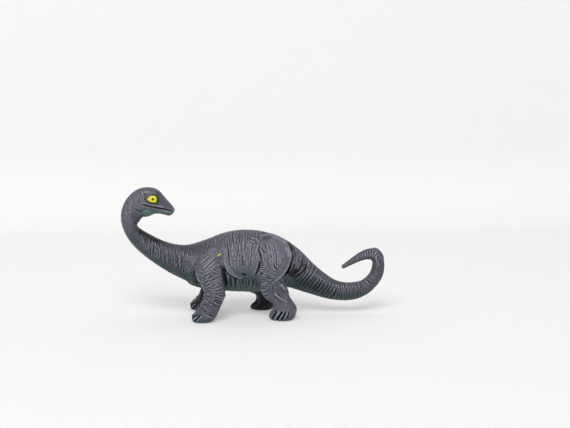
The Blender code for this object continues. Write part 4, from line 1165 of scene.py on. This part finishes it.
# %% The purplish coat along the back, and the yellow smear
# How strong the coat is along the ridge of the back, and a thinner coat of it all round
RIDGE_ROWS, RIDGE_COAT = (0, 15, 18, 26, 30, 35, 38, 52, 58), (0.3, 0.0, 1.0, 1.0, 0.95, 0.4, 0.7, 0.6, 0.3)
ROUND_ROWS, ROUND_COAT = (10, 13, 22, 27, 36, 40, 58), (0.0, 0.2, 0.35, 0.0, 0.0, 0.35, 0.4)
RIDGE_EDGE = math.radians(42)
# Middle of the smear, its slant, and its half length and height, in millimetres
SMEAR_X, SMEAR_Z, SMEAR_SLANT, SMEAR_LENGTH, SMEAR_HEIGHT = -20.0, 37.1, 0.45, 1.6, 0.8

dorsal = smooth_step((RIDGE_EDGE - around + 0.3 * cloud) / 0.6 + 0.5) * body_share
dorsal *= np.interp(row, RIDGE_ROWS, RIDGE_COAT)
dorsal = np.maximum(dorsal, np.interp(row, ROUND_ROWS, ROUND_COAT) * body_share)
across = address.x / MM - SMEAR_X
up = address.z / MM - SMEAR_Z - SMEAR_SLANT * across
smear = groove(np.hypot(across / SMEAR_LENGTH, up / SMEAR_HEIGHT), 1)
smear = smooth_step(2 * smear + 0.8 * ragged - 0.8) * (address.y < 0)
keep_attribute(clay, "dorsal", dorsal)
keep_attribute(clay, "smear", smear)
print("points under the smear:", int((smear > 0.5).sum()))

# %% [markdown]
# ## Cutting the clay into its pieces
#
# The head, neck, torso and tail meet on flat joints. The bisect operator cuts the skin on such a plane, but
# only through the faces that are selected, so the plane of the neck's joint leaves the tail alone. Every face
# then gets the number of its piece: by its side of the plane near a joint, by its row elsewhere, and by the
# leg share on the legs. A seam is an edge between two numbers, and splitting the mesh along its seams lets
# the pieces come apart.

# %% Cut on the joints' planes
BODY_PIECES = ("head", "neck", "torso", "tail")
SEAM_ROWS = (HEAD_SEAM, NECK_SEAM, TAIL_SEAM)
NEAR_ROWS = 2.5
# The leg share is smoothed this often first, so that the legs' seams run even
SEAM_ROUNDS = 40

keep_attribute(clay, "leg", smoothed(leg_share, SEAM_ROUNDS))
keep_attribute(clay, "row", row)


def read_attribute(piece, name):
    return read_all(piece.data.attributes[name].data, "value")


def corner_facts(piece):
    """For all corners of all faces: their point and edge. For all faces: how many corners."""
    points = read_all(piece.data.loops, "vertex_index", np.int32)
    edges = read_all(piece.data.loops, "edge_index", np.int32)
    sizes = read_all(piece.data.polygons, "loop_total", np.int32)
    return points, edges, sizes


def face_means(piece, values):
    """The mean of the points' values over the corners of each face."""
    points, _, sizes = corner_facts(piece)
    starts = np.concatenate([[0], np.cumsum(sizes)[:-1]])
    return (np.add.reduceat(values[points], starts).T / sizes).T


def select_faces(piece, chosen):
    """Selects these faces, their corners and their edges, and nothing else."""
    points, edges, sizes = corner_facts(piece)
    chosen_corners = np.repeat(chosen, sizes)
    for elements, members in ((piece.data.vertices, points), (piece.data.edges, edges)):
        selected = np.zeros(len(elements), bool)
        selected[members[chosen_corners]] = True
        elements.foreach_set("select", selected)
    piece.data.polygons.foreach_set("select", chosen)


def joint_plane(seam_row):
    x, z, lean = spine[seam_row][:3]
    return np.array([x, 0.0, z]), np.array([math.cos(lean), 0.0, -math.sin(lean)])


pick(clay)
bpy.context.tool_settings.mesh_select_mode = (False, False, True)
for seam_row in SEAM_ROWS:
    near = np.abs(face_means(clay, read_attribute(clay, "row")) - seam_row) < NEAR_ROWS
    near &= face_means(clay, read_attribute(clay, "leg")) < 0.5
    select_faces(clay, near)
    middle, normal = joint_plane(seam_row)
    bpy.ops.object.mode_set(mode="EDIT")
    bpy.ops.mesh.bisect(plane_co=middle, plane_no=normal)
    bpy.ops.object.mode_set(mode="OBJECT")
print("faces after three cuts:", len(clay.data.polygons))

# %% Number the faces and let the pieces come apart
face_row = face_means(clay, read_attribute(clay, "row"))
face_middle = face_means(clay, places_of(clay))
number = np.zeros(len(face_row), int)
for seam_row in SEAM_ROWS:
    middle, normal = joint_plane(seam_row)
    beyond = (face_middle - middle) @ normal > 0
    near = np.abs(face_row - seam_row) < NEAR_ROWS
    number += np.where(near, beyond, face_row > seam_row)
number[face_means(clay, read_attribute(clay, "leg")) > 0.5] = len(BODY_PIECES)
numbers = clay.data.attributes.new("number", "INT", "FACE")
numbers.data.foreach_set("value", number.astype(np.int32))
_, corner_edges, face_sizes = corner_facts(clay)
beside = np.repeat(number, face_sizes)[np.argsort(corner_edges, kind="stable")].reshape(-1, 2)
seams = beside[:, 0] != beside[:, 1]
bpy.context.tool_settings.mesh_select_mode = (False, True, False)
clay.data.polygons.foreach_set("select", np.zeros(len(number), bool))
clay.data.vertices.foreach_set("select", np.zeros(len(clay.data.vertices), bool))
clay.data.edges.foreach_set("select", seams)
bpy.ops.object.mode_set(mode="EDIT")
bpy.ops.mesh.edge_split(type="EDGE")
bpy.ops.mesh.separate(type="LOOSE")
bpy.ops.object.mode_set(mode="OBJECT")
loose = [piece for piece in bpy.context.selected_objects if piece.type == "MESH"]
print("pieces:", sorted(len(piece.data.polygons) for piece in loose))

# %% [markdown]
# ## Closing each piece
#
# A cut piece is an open skin. Each of its holes is filled with one face, and poking that face turns it into a
# fan round its middle, which lies inside the animal. The edge between skin and fan is made sharp, so that
# the shading of the skin doesn't bend towards the hidden cap. The torso is then cut once more on the
# figure's middle plane, into the two shells that the mould's halves make.

# %% Name and close the pieces
MANY_SIDES = 40
CAP_ANGLE = math.radians(70)


def edit_all(piece):
    pick(piece)
    bpy.ops.object.mode_set(mode="EDIT")
    bpy.ops.mesh.select_all(action="SELECT")


def piece_name(piece):
    """The body's pieces are told by their number, and the legs by their place."""
    number = piece.data.attributes["number"].data[0].value
    if number < len(BODY_PIECES):
        return BODY_PIECES[number]
    x, y, _ = places_of(piece).mean(axis=0)
    return ("front_" if x < 0 else "hind_") + ("left" if y < 0 else "right") + "_leg"


def close_holes():
    """Fills each hole of the piece in edit mode with a fan of faces, and leaves edit mode."""
    bpy.ops.mesh.select_all(action="SELECT")
    bpy.ops.mesh.fill_holes(sides=0)
    bpy.ops.mesh.select_all(action="DESELECT")
    bpy.ops.mesh.select_mode(type="FACE")
    bpy.ops.mesh.select_face_by_sides(number=MANY_SIDES, type="GREATER")
    bpy.ops.mesh.poke()
    face_outwards()


skins = {}
for piece in loose:
    name = piece_name(piece)
    piece.name = name + "_skin"
    edit_all(piece)
    close_holes()
    skins[name] = piece
print({name: len(piece.data.polygons) for name, piece in skins.items()})

# %% Two shells from one torso
torso = skins.pop("torso")
pick(torso)
bpy.ops.object.duplicate()
other_half = bpy.context.selected_objects[0]
for piece, side in ((torso, "left"), (other_half, "right")):
    edit_all(piece)
    bpy.ops.mesh.bisect(plane_co=(0.0, 0.0, 0.0), plane_no=(0.0, 1.0, 0.0), clear_inner=side == "right",
                        clear_outer=side == "left")
    bpy.ops.mesh.select_all(action="SELECT")
    bpy.ops.mesh.delete_loose(use_verts=True, use_edges=True, use_faces=False)
    close_holes()
    name = "torso_" + side + "_shell"
    piece.name = name + "_skin"
    skins[name] = piece
for piece in skins.values():
    pick(piece)
    bpy.ops.object.shade_smooth_by_angle(angle=CAP_ANGLE)
print(len(skins), "pieces, each with its own closed skin")

# %% [markdown]
# ## Eyes
#
# On the real toy the eye is a dab of bright yellow inside a moulded lid, with a black dot. Paint alone would
# be flat, so each eye is a thin domed pad: a filled outline of eight points, inset twice, rounded by
# subdivision, wrapped on the head sideways, domed, and given a wall that reaches down into the skin.

# %% Domed eyes
EYE_MIDDLE = (-56.4, 67.6)
YELLOW_OUTLINE = ((-59.5, 67.5), (-57.8, 69.0), (-56.0, 69.4), (-54.6, 69.3), (-54.0, 68.0), (-54.1, 65.9),
                  (-56.0, 65.7), (-58.1, 66.4))
EYE_OUTLINE = ((-60.6, 67.5), (-58.9, 69.6), (-56.3, 70.5), (-53.9, 70.0), (-52.8, 67.2), (-53.4, 64.7),
               (-56.0, 64.4), (-58.6, 65.2))
EYE_INSET = 0.45 * MM
EYE_DOME = 0.30 * MM
EYE_STAND = 0.06 * MM
EYE_WALL = 0.9 * MM
EYE_ROUNDING = 3
EYE_EDGE_ANGLE = math.radians(50)
# The dome ends at this share of the outline, because rounding pulls the outline in
DOME_END = 0.93


def outline_share(offset, outline):
    """0 in the middle of an outline of corners, 1 on its edges and more outside it."""
    corners = (np.array(outline) - EYE_MIDDLE) * MM
    across = (np.roll(corners, -1, axis=0) - corners)[:, ::-1] * (1, -1)
    return (offset @ across.T / (corners * across).sum(axis=1)).max(axis=1)


def domed_eye(side):
    bpy.ops.object.select_all(action="DESELECT")
    bpy.ops.mesh.primitive_circle_add(vertices=len(EYE_OUTLINE), radius=MM, fill_type="NGON",
                                      rotation=(math.pi / 2, 0.0, 0.0))
    eye = bpy.context.object
    bpy.ops.object.transform_apply(location=False, rotation=True, scale=False)
    for corner, (x, z) in zip(eye.data.vertices, EYE_OUTLINE):
        corner.co = (x * MM, side * 2 * HALF_BREADTH, z * MM)
    bpy.ops.object.mode_set(mode="EDIT")
    bpy.ops.mesh.select_all(action="SELECT")
    for _ in range(2):
        bpy.ops.mesh.inset(thickness=EYE_INSET)
    bpy.ops.object.mode_set(mode="OBJECT")
    finish_modifier(eye, "SUBSURF", levels=EYE_ROUNDING, render_levels=EYE_ROUNDING)
    places = places_of(eye)
    offset = places[:, [0, 2]] - np.array(EYE_MIDDLE) * MM
    keep_attribute(eye, "rim", outline_share(offset, YELLOW_OUTLINE))
    fullness = np.clip(outline_share(offset, EYE_OUTLINE) / DOME_END, 0.0, 1.0)
    finish_modifier(eye, "SHRINKWRAP", target=skins["head"], wrap_method="PROJECT", use_project_y=True,
                    use_positive_direction=side == LEFT, use_negative_direction=side == RIGHT)
    places = places_of(eye)
    places[:, 1] += side * (EYE_STAND + EYE_DOME * (1 - fullness ** 2))
    move_points(eye, places)
    edit_all(eye)
    face_outwards()
    facing = sum(face.normal.y for face in eye.data.polygons)
    if facing * side < 0:
        edit_all(eye)
        bpy.ops.mesh.flip_normals()
        bpy.ops.object.mode_set(mode="OBJECT")
    finish_modifier(eye, "SOLIDIFY", thickness=EYE_WALL, offset=-1.0)
    bpy.ops.object.shade_smooth_by_angle(angle=EYE_EDGE_ANGLE)
    return eye


eyes = {"left_eye": domed_eye(LEFT), "right_eye": domed_eye(RIGHT)}
for name, eye in eyes.items():
    eye.name = name + "_paint"
    print(name, "at", np.round(places_of(eye).mean(axis=0) / MM, 1), "and in mm",
          [round(edge / MM, 1) for edge in eye.dimensions])

# %% [markdown]
# ## Shared effects
#
# Two effects are node groups with named sockets, so that any skin can use them: spray paint over bare
# plastic, worn thin on the crests with a painted highlight there and with painted shade in the folds, and the
# fine grain that a sandblasted mould leaves on soft plastic.

# %% Node helpers
def new_group(name, inputs, outputs):
    """A node group with sockets given as (name, kind, value)."""
    tree = bpy.data.node_groups.new(name, "ShaderNodeTree")
    for direction, sockets in (("INPUT", inputs), ("OUTPUT", outputs)):
        for socket_name, kind, value in sockets:
            socket = tree.interface.new_socket(socket_name, in_out=direction, socket_type="NodeSocket" + kind)
            if value is not None:
                socket.default_value = value
    return tree


def add_node(tree, kind, inputs=(), **settings):
    """Adds a node. An input is a value or the output that feeds it."""
    node = tree.nodes.new("ShaderNode" + kind)
    for setting, value in settings.items():
        setattr(node, setting, value)
    for socket, value in dict(inputs).items():
        if isinstance(value, bpy.types.NodeSocket):
            tree.links.new(value, node.inputs[socket])
        else:
            node.inputs[socket].default_value = value
    return node


def maths(tree, operation, *values):
    """A Math node over these values."""
    return add_node(tree, "Math", dict(enumerate(values)), operation=operation).outputs[0]


def plus(tree, first, second):
    return maths(tree, "ADD", first, second)


def times(tree, first, second):
    return maths(tree, "MULTIPLY", first, second)


def above_zero(tree, value):
    return maths(tree, "MAXIMUM", value, 0.0)


def mask(tree, value, start, full):
    """0 below start, 1 above full, smooth between."""
    ranged = add_node(tree, "MapRange", {"Value": value, "From Min": start, "From Max": full},
                      interpolation_type="SMOOTHSTEP")
    return ranged.outputs["Result"]


def mixed(tree, share, first, second):
    """Two colours mixed. A Mix node's colour inputs are its sockets 6 and 7, and its colour output is 2."""
    return add_node(tree, "Mix", {0: share, 6: first, 7: second}, data_type="RGBA").outputs[2]


def attribute(tree, name):
    return add_node(tree, "Attribute", attribute_name=name).outputs["Fac"]


def object_noise(tree, scale, detail):
    """Noise on Object coordinates, with so many cells to the metre."""
    place = add_node(tree, "TexCoord").outputs["Object"]
    return add_node(tree, "TexNoise", {"Vector": place, "Scale": scale, "Detail": detail}).outputs["Fac"]


print("node helpers ready")

# %% Spray paint over plastic, with painted highlights and shade
# Cells to the metre of the spray's speckles and of its clouds
MIST_SCALE, CLOUD_SCALE = 900.0, 90.0
PURPLE_COAT = (0.052, 0.046, 0.062, 1.0)
# Relief in millimetres at which a crest's painted highlight or a fold's painted shade begins to show, and at
# which it shows in full
CREST_FROM, CREST_FULL = 0.01, 0.18
FOLD_FROM, FOLD_FULL = 0.01, 0.19
WIDE_FOLD_FROM, WIDE_FOLD_FULL, WIDE_FOLD_SHARE = 0.05, 0.6, 0.5
# The painted shade of a fold is mixed in at most this share
DARKEST_FOLD_SHADE = 0.97
# Noise values at which clouds and speckles begin to show and show in full, and how strong the clouds are
CLOUDS_FROM, CLOUDS_FULL, CLOUDS_SHARE = 0.35, 0.65, 0.15
MIST_FROM, MIST_FULL = 0.25, 0.6
# Where the bare plastic begins and where it is full, and how far the speckles break up that edge
BARE_FROM, BARE_FULL, SPECKLED_EDGE = 0.15, 0.85, 0.7
# How well the back's coat covers, and how much less highlight is painted on bare plastic than on paint
DORSAL_COVER, BARE_LESS_HIGHLIGHT = 0.85, 0.55

# The crests' colour stands for paint worn thin with a painted highlight, and the folds' colour is painted
# shade
spray_with_painted_light = new_group("Spray paint with painted highlights and shade", (
    ("Paint", "Color", (0.12, 0.115, 0.13, 1.0)),
    ("Worn and highlighted", "Color", (0.25, 0.24, 0.26, 1.0)),
    ("Painted fold shade", "Color", (0.005, 0.005, 0.008, 1.0)),
    ("Plastic", "Color", (0.075, 0.115, 0.10, 1.0)),
    ("Relief", "Float", 0.0),
    ("Folds", "Float", 0.0),
    ("Shade", "Float", 0.0),
    ("Bare", "Float", 0.0),
    ("Dorsal", "Float", 0.0),
    ("Wear and highlight", "Float", 0.5)), (("Color", "Color", None),))
tree = spray_with_painted_light
given = tree.nodes.new("NodeGroupInput").outputs
mist = object_noise(tree, MIST_SCALE, 3.0)
cloudy = object_noise(tree, CLOUD_SCALE, 2.0)
thinner = mixed(tree, CLOUDS_SHARE, given["Paint"], given["Worn and highlighted"])
paint = mixed(tree, mask(tree, cloudy, CLOUDS_FROM, CLOUDS_FULL), given["Paint"], thinner)
# A second, purplish coat lies along the back
paint = mixed(tree, times(tree, given["Dorsal"], DORSAL_COVER), paint, PURPLE_COAT)
# Spray thins out in speckles where the plastic is bare
edge = plus(tree, given["Bare"], times(tree, maths(tree, "SUBTRACT", mist, 0.5), SPECKLED_EDGE))
bared = mask(tree, edge, BARE_FROM, BARE_FULL)
ground = mixed(tree, bared, paint, given["Plastic"])
# Crests are made lighter, with paint worn thin and a painted highlight, also where a stroke says so, and less
# on bare plastic
crest = times(tree, mask(tree, given["Relief"], CREST_FROM, CREST_FULL), given["Wear and highlight"])
crest = times(tree, crest, mask(tree, mist, MIST_FROM, MIST_FULL))
crest = plus(tree, crest, above_zero(tree, times(tree, given["Shade"], -1.0)))
crest = times(tree, crest, maths(tree, "SUBTRACT", 1.0, times(tree, bared, BARE_LESS_HIGHLIGHT)))
worn_and_highlighted = mixed(tree, maths(tree, "MINIMUM", crest, 1.0), ground, given["Worn and highlighted"])
# Shade is painted into wrinkles and wide folds, and where a stroke says so
fold = mask(tree, times(tree, given["Relief"], -1.0), FOLD_FROM, FOLD_FULL)
wide_fold_shade = mask(tree, times(tree, given["Folds"], -1.0), WIDE_FOLD_FROM, WIDE_FOLD_FULL)
fold = plus(tree, fold, times(tree, wide_fold_shade, WIDE_FOLD_SHARE))
fold = maths(tree, "MINIMUM", plus(tree, fold, above_zero(tree, given["Shade"])), DARKEST_FOLD_SHADE)
ends = tree.nodes.new("NodeGroupOutput")
tree.links.new(mixed(tree, fold, worn_and_highlighted, given["Painted fold shade"]), ends.inputs["Color"])
print(spray_with_painted_light.name, "has", len(spray_with_painted_light.nodes), "nodes")

# %% Grain of the mould
# Cells to the metre of the grain, of its finer part, and of the patches that hands have polished
COARSE_SCALE, FINE_SCALE, HANDLED_SCALE = 1500.0, 5200.0, 160.0
FINE_HEIGHT = 0.5
# What handled patches and a millimetre of relief add to the roughness: crests are polished, folds stay dull
HANDLED_DULLNESS, RELIEF_DULLNESS = 0.25, -0.4

mould_grain = new_group("Mould grain", (
    ("Coarseness", "Float", 1.0),
    ("Relief", "Float", 0.0)), (("Height", "Float", None), ("Dullness", "Float", None)))
tree = mould_grain
given = tree.nodes.new("NodeGroupInput").outputs
coarse = times(tree, object_noise(tree, COARSE_SCALE, 2.0), given["Coarseness"])
height = plus(tree, coarse, times(tree, object_noise(tree, FINE_SCALE, 2.0), FINE_HEIGHT))
handled = times(tree, object_noise(tree, HANDLED_SCALE, 3.0), HANDLED_DULLNESS)
dullness = plus(tree, handled, times(tree, given["Relief"], RELIEF_DULLNESS))
ends = tree.nodes.new("NodeGroupOutput")
tree.links.new(height, ends.inputs["Height"])
tree.links.new(dullness, ends.inputs["Dullness"])
print(mould_grain.name, "has", len(mould_grain.nodes), "nodes")

# %% [markdown]
# ## Sprayed skin
#
# Soft PVC with a coat of satin paint: dark, faintly purple grey, a little lighter on the crests, where
# fingers and the wipe have worn the paint thin and a highlight is painted, and nearly black in the folds,
# where shade is painted. Its gloss is that of an eggshell, broken by the grain.

# %% Skin material
def new_material(name):
    material = bpy.data.materials.new(name)
    material.use_nodes = True
    material.node_tree.nodes.clear()
    tree = material.node_tree
    shader = tree.nodes.new("ShaderNodeBsdfPrincipled")
    output = tree.nodes.new("ShaderNodeOutputMaterial")
    tree.links.new(shader.outputs["BSDF"], output.inputs["Surface"])
    return material, tree, shader


def placed(tree, group, inputs):
    """The outputs of a node group with these inputs."""
    return add_node(tree, "Group", inputs, node_tree=group).outputs


# Colours in linear light: the paint, the crests' paint worn thin with a painted highlight, the plastic, the
# plastic through thin spray
SKIN_PAINT, SKIN_WORN_AND_HIGHLIGHTED = (0.102, 0.104, 0.138, 1.0), (0.36, 0.36, 0.43, 1.0)
SKIN_PLASTIC, THIN_TEAL = (0.043, 0.081, 0.082, 1.0), (0.175, 0.29, 0.27, 1.0)
SMEAR_YELLOW = (0.55, 0.60, 0.05, 1.0)
# How strongly the crests are lightened, as wear and as a painted highlight
SKIN_WEAR_AND_HIGHLIGHT = 0.8
SKIN_ROUGHNESS, SKIN_SPECULAR = 0.34, 0.35
GRAIN_STRENGTH, GRAIN_DEPTH = 0.35, 0.00006

skin_material, tree, shader = new_material("sprayed grey skin")
relief = attribute(tree, "fine_relief")
spray = placed(tree, spray_with_painted_light, {
    "Paint": SKIN_PAINT, "Worn and highlighted": SKIN_WORN_AND_HIGHLIGHTED, "Plastic": SKIN_PLASTIC, "Wear and highlight": SKIN_WEAR_AND_HIGHLIGHT,
    "Relief": relief, "Folds": attribute(tree, "wide_relief"), "Shade": attribute(tree, "shade"),
    "Bare": attribute(tree, "bare"), "Dorsal": attribute(tree, "dorsal")})
colour = mixed(tree, attribute(tree, "thin"), spray["Color"], THIN_TEAL)
colour = mixed(tree, attribute(tree, "smear"), colour, SMEAR_YELLOW)
tree.links.new(colour, shader.inputs["Base Color"])
grain = placed(tree, mould_grain, {"Coarseness": 1.0, "Relief": relief})
tree.links.new(plus(tree, SKIN_ROUGHNESS, grain["Dullness"]), shader.inputs["Roughness"])
bump = add_node(tree, "Bump", {"Height": grain["Height"], "Strength": GRAIN_STRENGTH,
                               "Distance": GRAIN_DEPTH})
tree.links.new(bump.outputs["Normal"], shader.inputs["Normal"])
shader.inputs["Specular IOR Level"].default_value = SKIN_SPECULAR
print(skin_material.name, "ready")

# %% [markdown]
# ## Eye paint
#
# Glossy yellow enamel with a black dot and a thin dark line where it meets the lid.

# %% Eye material
PUPIL_X, PUPIL_Z, PUPIL_RADIUS = -0.0562, 0.0676, 0.00088
# The pupil's black is full up to this distance from its middle
PUPIL_CORE = 0.00055
# Cells to the metre of the brush's edge and streaks, and how far the edge wanders in metres
BRUSH_SCALE, STREAK_SCALE, BRUSH_WANDER = 1400.0, 500.0, 0.0004
STREAK_ROUGHNESS = 0.1
# Share of the way from the eye's middle to its edge at which the dark line sets in, and where it is full
LID_FROM, LID_FULL = 0.90, 1.04
PUPIL_BLACK, LID_LINE = (0.006, 0.006, 0.006, 1.0), (0.045, 0.045, 0.012, 1.0)
BRIGHT_YELLOW, DEEP_YELLOW = (0.90, 0.84, 0.012, 1.0), (0.80, 0.70, 0.01, 1.0)
EYE_ROUGHNESS, EYE_COAT, EYE_COAT_ROUGHNESS = 0.32, 0.1, 0.3

eye_material, tree, shader = new_material("yellow eye enamel")
place = add_node(tree, "TexCoord").outputs["Object"]
split = add_node(tree, "SeparateXYZ", {"Vector": place}).outputs
gap_x = maths(tree, "SUBTRACT", split["X"], PUPIL_X)
gap_z = maths(tree, "SUBTRACT", split["Z"], PUPIL_Z)
gap = maths(tree, "SQRT", plus(tree, times(tree, gap_x, gap_x), times(tree, gap_z, gap_z)))
# The dot was dabbed on with a brush, so its edge is a little uneven
brush = times(tree, maths(tree, "SUBTRACT", object_noise(tree, BRUSH_SCALE, 2.0), 0.5), BRUSH_WANDER)
outside_pupil = mask(tree, plus(tree, gap, brush), PUPIL_CORE, PUPIL_RADIUS)
streaks = object_noise(tree, STREAK_SCALE, 2.0)
yellow = mixed(tree, streaks, BRIGHT_YELLOW, DEEP_YELLOW)
yellow = mixed(tree, mask(tree, attribute(tree, "rim"), LID_FROM, LID_FULL), yellow, LID_LINE)
tree.links.new(mixed(tree, outside_pupil, PUPIL_BLACK, yellow), shader.inputs["Base Color"])
tree.links.new(plus(tree, times(tree, streaks, STREAK_ROUGHNESS), EYE_ROUGHNESS), shader.inputs["Roughness"])
shader.inputs["Coat Weight"].default_value = EYE_COAT
shader.inputs["Coat Roughness"].default_value = EYE_COAT_ROUGHNESS
print(eye_material.name, "ready")

# %% [markdown]
# ## Each piece takes the place of its solid
#
# The skins and eyes stand for the CAD nodes of the same names, which are hidden, ride with the one rigid
# body, and get their materials.

# %% Ride and replace
for pieces, material, slot in ((skins, skin_material, "grey_pvc"), (eyes, eye_material, "yellow_eye_paint")):
    for node_name, piece in pieces.items():
        piece.data.materials.clear()
        piece.data.materials.append(material)
        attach(piece, "root")
        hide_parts(node_name)
print(len(skins) + len(eyes), "nodes dressed")

# %% [markdown]
# ## Table and backdrop
#
# The figure was photographed on a white sweep: a table top whose back edge curves up into the wall, so no
# hard line crosses the picture. A plane's far edge is extruded upwards and the corner is bevelled round.
# The card's back is see-through to the camera, so that the figure can also be looked at from behind.

# %% Sweep
SWEEP_WIDTH, SWEEP_FRONT, SWEEP_BACK, SWEEP_TOP = 3.0, -1.6, 0.34, 1.6
SWEEP_CURVE, SWEEP_CURVE_STEPS = 0.06, 24

bpy.ops.object.select_all(action="DESELECT")
bpy.ops.mesh.primitive_plane_add(size=1.0)
sweep = bpy.context.object
sweep.name = "sweep"
for corner in sweep.data.vertices:
    corner.co = (corner.co.x * SWEEP_WIDTH, SWEEP_BACK if corner.co.y > 0 else SWEEP_FRONT, 0.0)
bpy.context.tool_settings.mesh_select_mode = (False, True, False)
bpy.ops.object.mode_set(mode="EDIT")
bpy.ops.mesh.select_all(action="DESELECT")
bpy.ops.object.mode_set(mode="OBJECT")
for edge in sweep.data.edges:
    edge.select = all(sweep.data.vertices[end].co.y > 0 for end in edge.vertices)
bpy.ops.object.mode_set(mode="EDIT")
bpy.ops.mesh.extrude_region_move(TRANSFORM_OT_translate={"value": (0.0, 0.0, SWEEP_TOP)})
bpy.ops.object.mode_set(mode="OBJECT")
for edge in sweep.data.edges:
    edge.select = all(abs(sweep.data.vertices[end].co.y - SWEEP_BACK) < MM
                      and abs(sweep.data.vertices[end].co.z) < MM for end in edge.vertices)
bpy.ops.object.mode_set(mode="EDIT")
bpy.ops.mesh.bevel(offset=SWEEP_CURVE, segments=SWEEP_CURVE_STEPS)
face_outwards()
if max(sweep.data.polygons, key=lambda face: face.area).normal @ Vector((0.0, -1.0, 1.0)) < 0:
    sweep.data.flip_normals()
bpy.ops.object.shade_smooth()
print("sweep:", len(sweep.data.polygons), "faces")

# %% White card
CARD_COLOUR, CARD_ROUGHNESS = (0.755, 0.75, 0.75, 1.0), 0.85
GLOW_COLOUR, GLOW_STRENGTH = (1.0, 0.99, 0.995, 1.0), 0.29

sweep_material, tree, shader = new_material("white card")
shader.inputs["Base Color"].default_value = CARD_COLOUR
shader.inputs["Roughness"].default_value = CARD_ROUGHNESS
# The camera and glossy reflections see the card a little whiter than the light makes it
rays = add_node(tree, "LightPath").outputs
seen = maths(tree, "MAXIMUM", rays["Is Camera Ray"], rays["Is Glossy Ray"])
glow = add_node(tree, "Emission", {"Color": GLOW_COLOUR, "Strength": times(tree, seen, GLOW_STRENGTH)})
lit = add_node(tree, "AddShader", {0: shader.outputs["BSDF"], 1: glow.outputs["Emission"]})
behind = times(tree, rays["Is Camera Ray"], add_node(tree, "NewGeometry").outputs["Backfacing"])
card = add_node(tree, "MixShader", {0: behind, 1: lit.outputs["Shader"],
                                    2: add_node(tree, "BsdfTransparent").outputs["BSDF"]})
output = next(node for node in tree.nodes if node.type == "OUTPUT_MATERIAL")
tree.links.new(card.outputs["Shader"], output.inputs["Surface"])
sweep.data.materials.append(sweep_material)
print(sweep_material.name, "ready")

# %% [markdown]
# ## Light
#
# One large soft lamp stands above the camera's left, and a dim white world fills from all sides. The shadows
# are then wide and weak, as under a softbox beside a white wall.

# %% Lamp and world
LAMP_PLACE, LAMP_TARGET = Vector((-0.42, -1.90, 1.95)), Vector((0.0, 0.0, 0.02))
LAMP_SIZE, LAMP_POWER = 1.5, 47.0
WORLD_STRENGTH = 0.29

lamp_data = bpy.data.lights.new("softbox", "AREA")
lamp_data.shape = "SQUARE"
lamp_data.size = LAMP_SIZE
lamp_data.energy = LAMP_POWER
lamp = bpy.data.objects.new("softbox", lamp_data)
lamp.location = LAMP_PLACE
lamp.rotation_euler = (LAMP_TARGET - LAMP_PLACE).to_track_quat("-Z", "Y").to_euler()
bpy.context.scene.collection.objects.link(lamp)

world = bpy.data.worlds.new("white room")
bpy.context.scene.world = world
world.use_nodes = True
tree = world.node_tree
background = tree.nodes["Background"]
background.inputs["Color"].default_value = (1.0, 1.0, 1.0, 1.0)
# The camera sees pure white where no card stands, but the world lights the scene only dimly
seen = add_node(tree, "LightPath").outputs["Is Camera Ray"]
strength = maths(tree, "MULTIPLY_ADD", seen, 1.0 - WORLD_STRENGTH, WORLD_STRENGTH)
tree.links.new(strength, background.inputs["Strength"])
bpy.context.scene.view_settings.view_transform = "Standard"
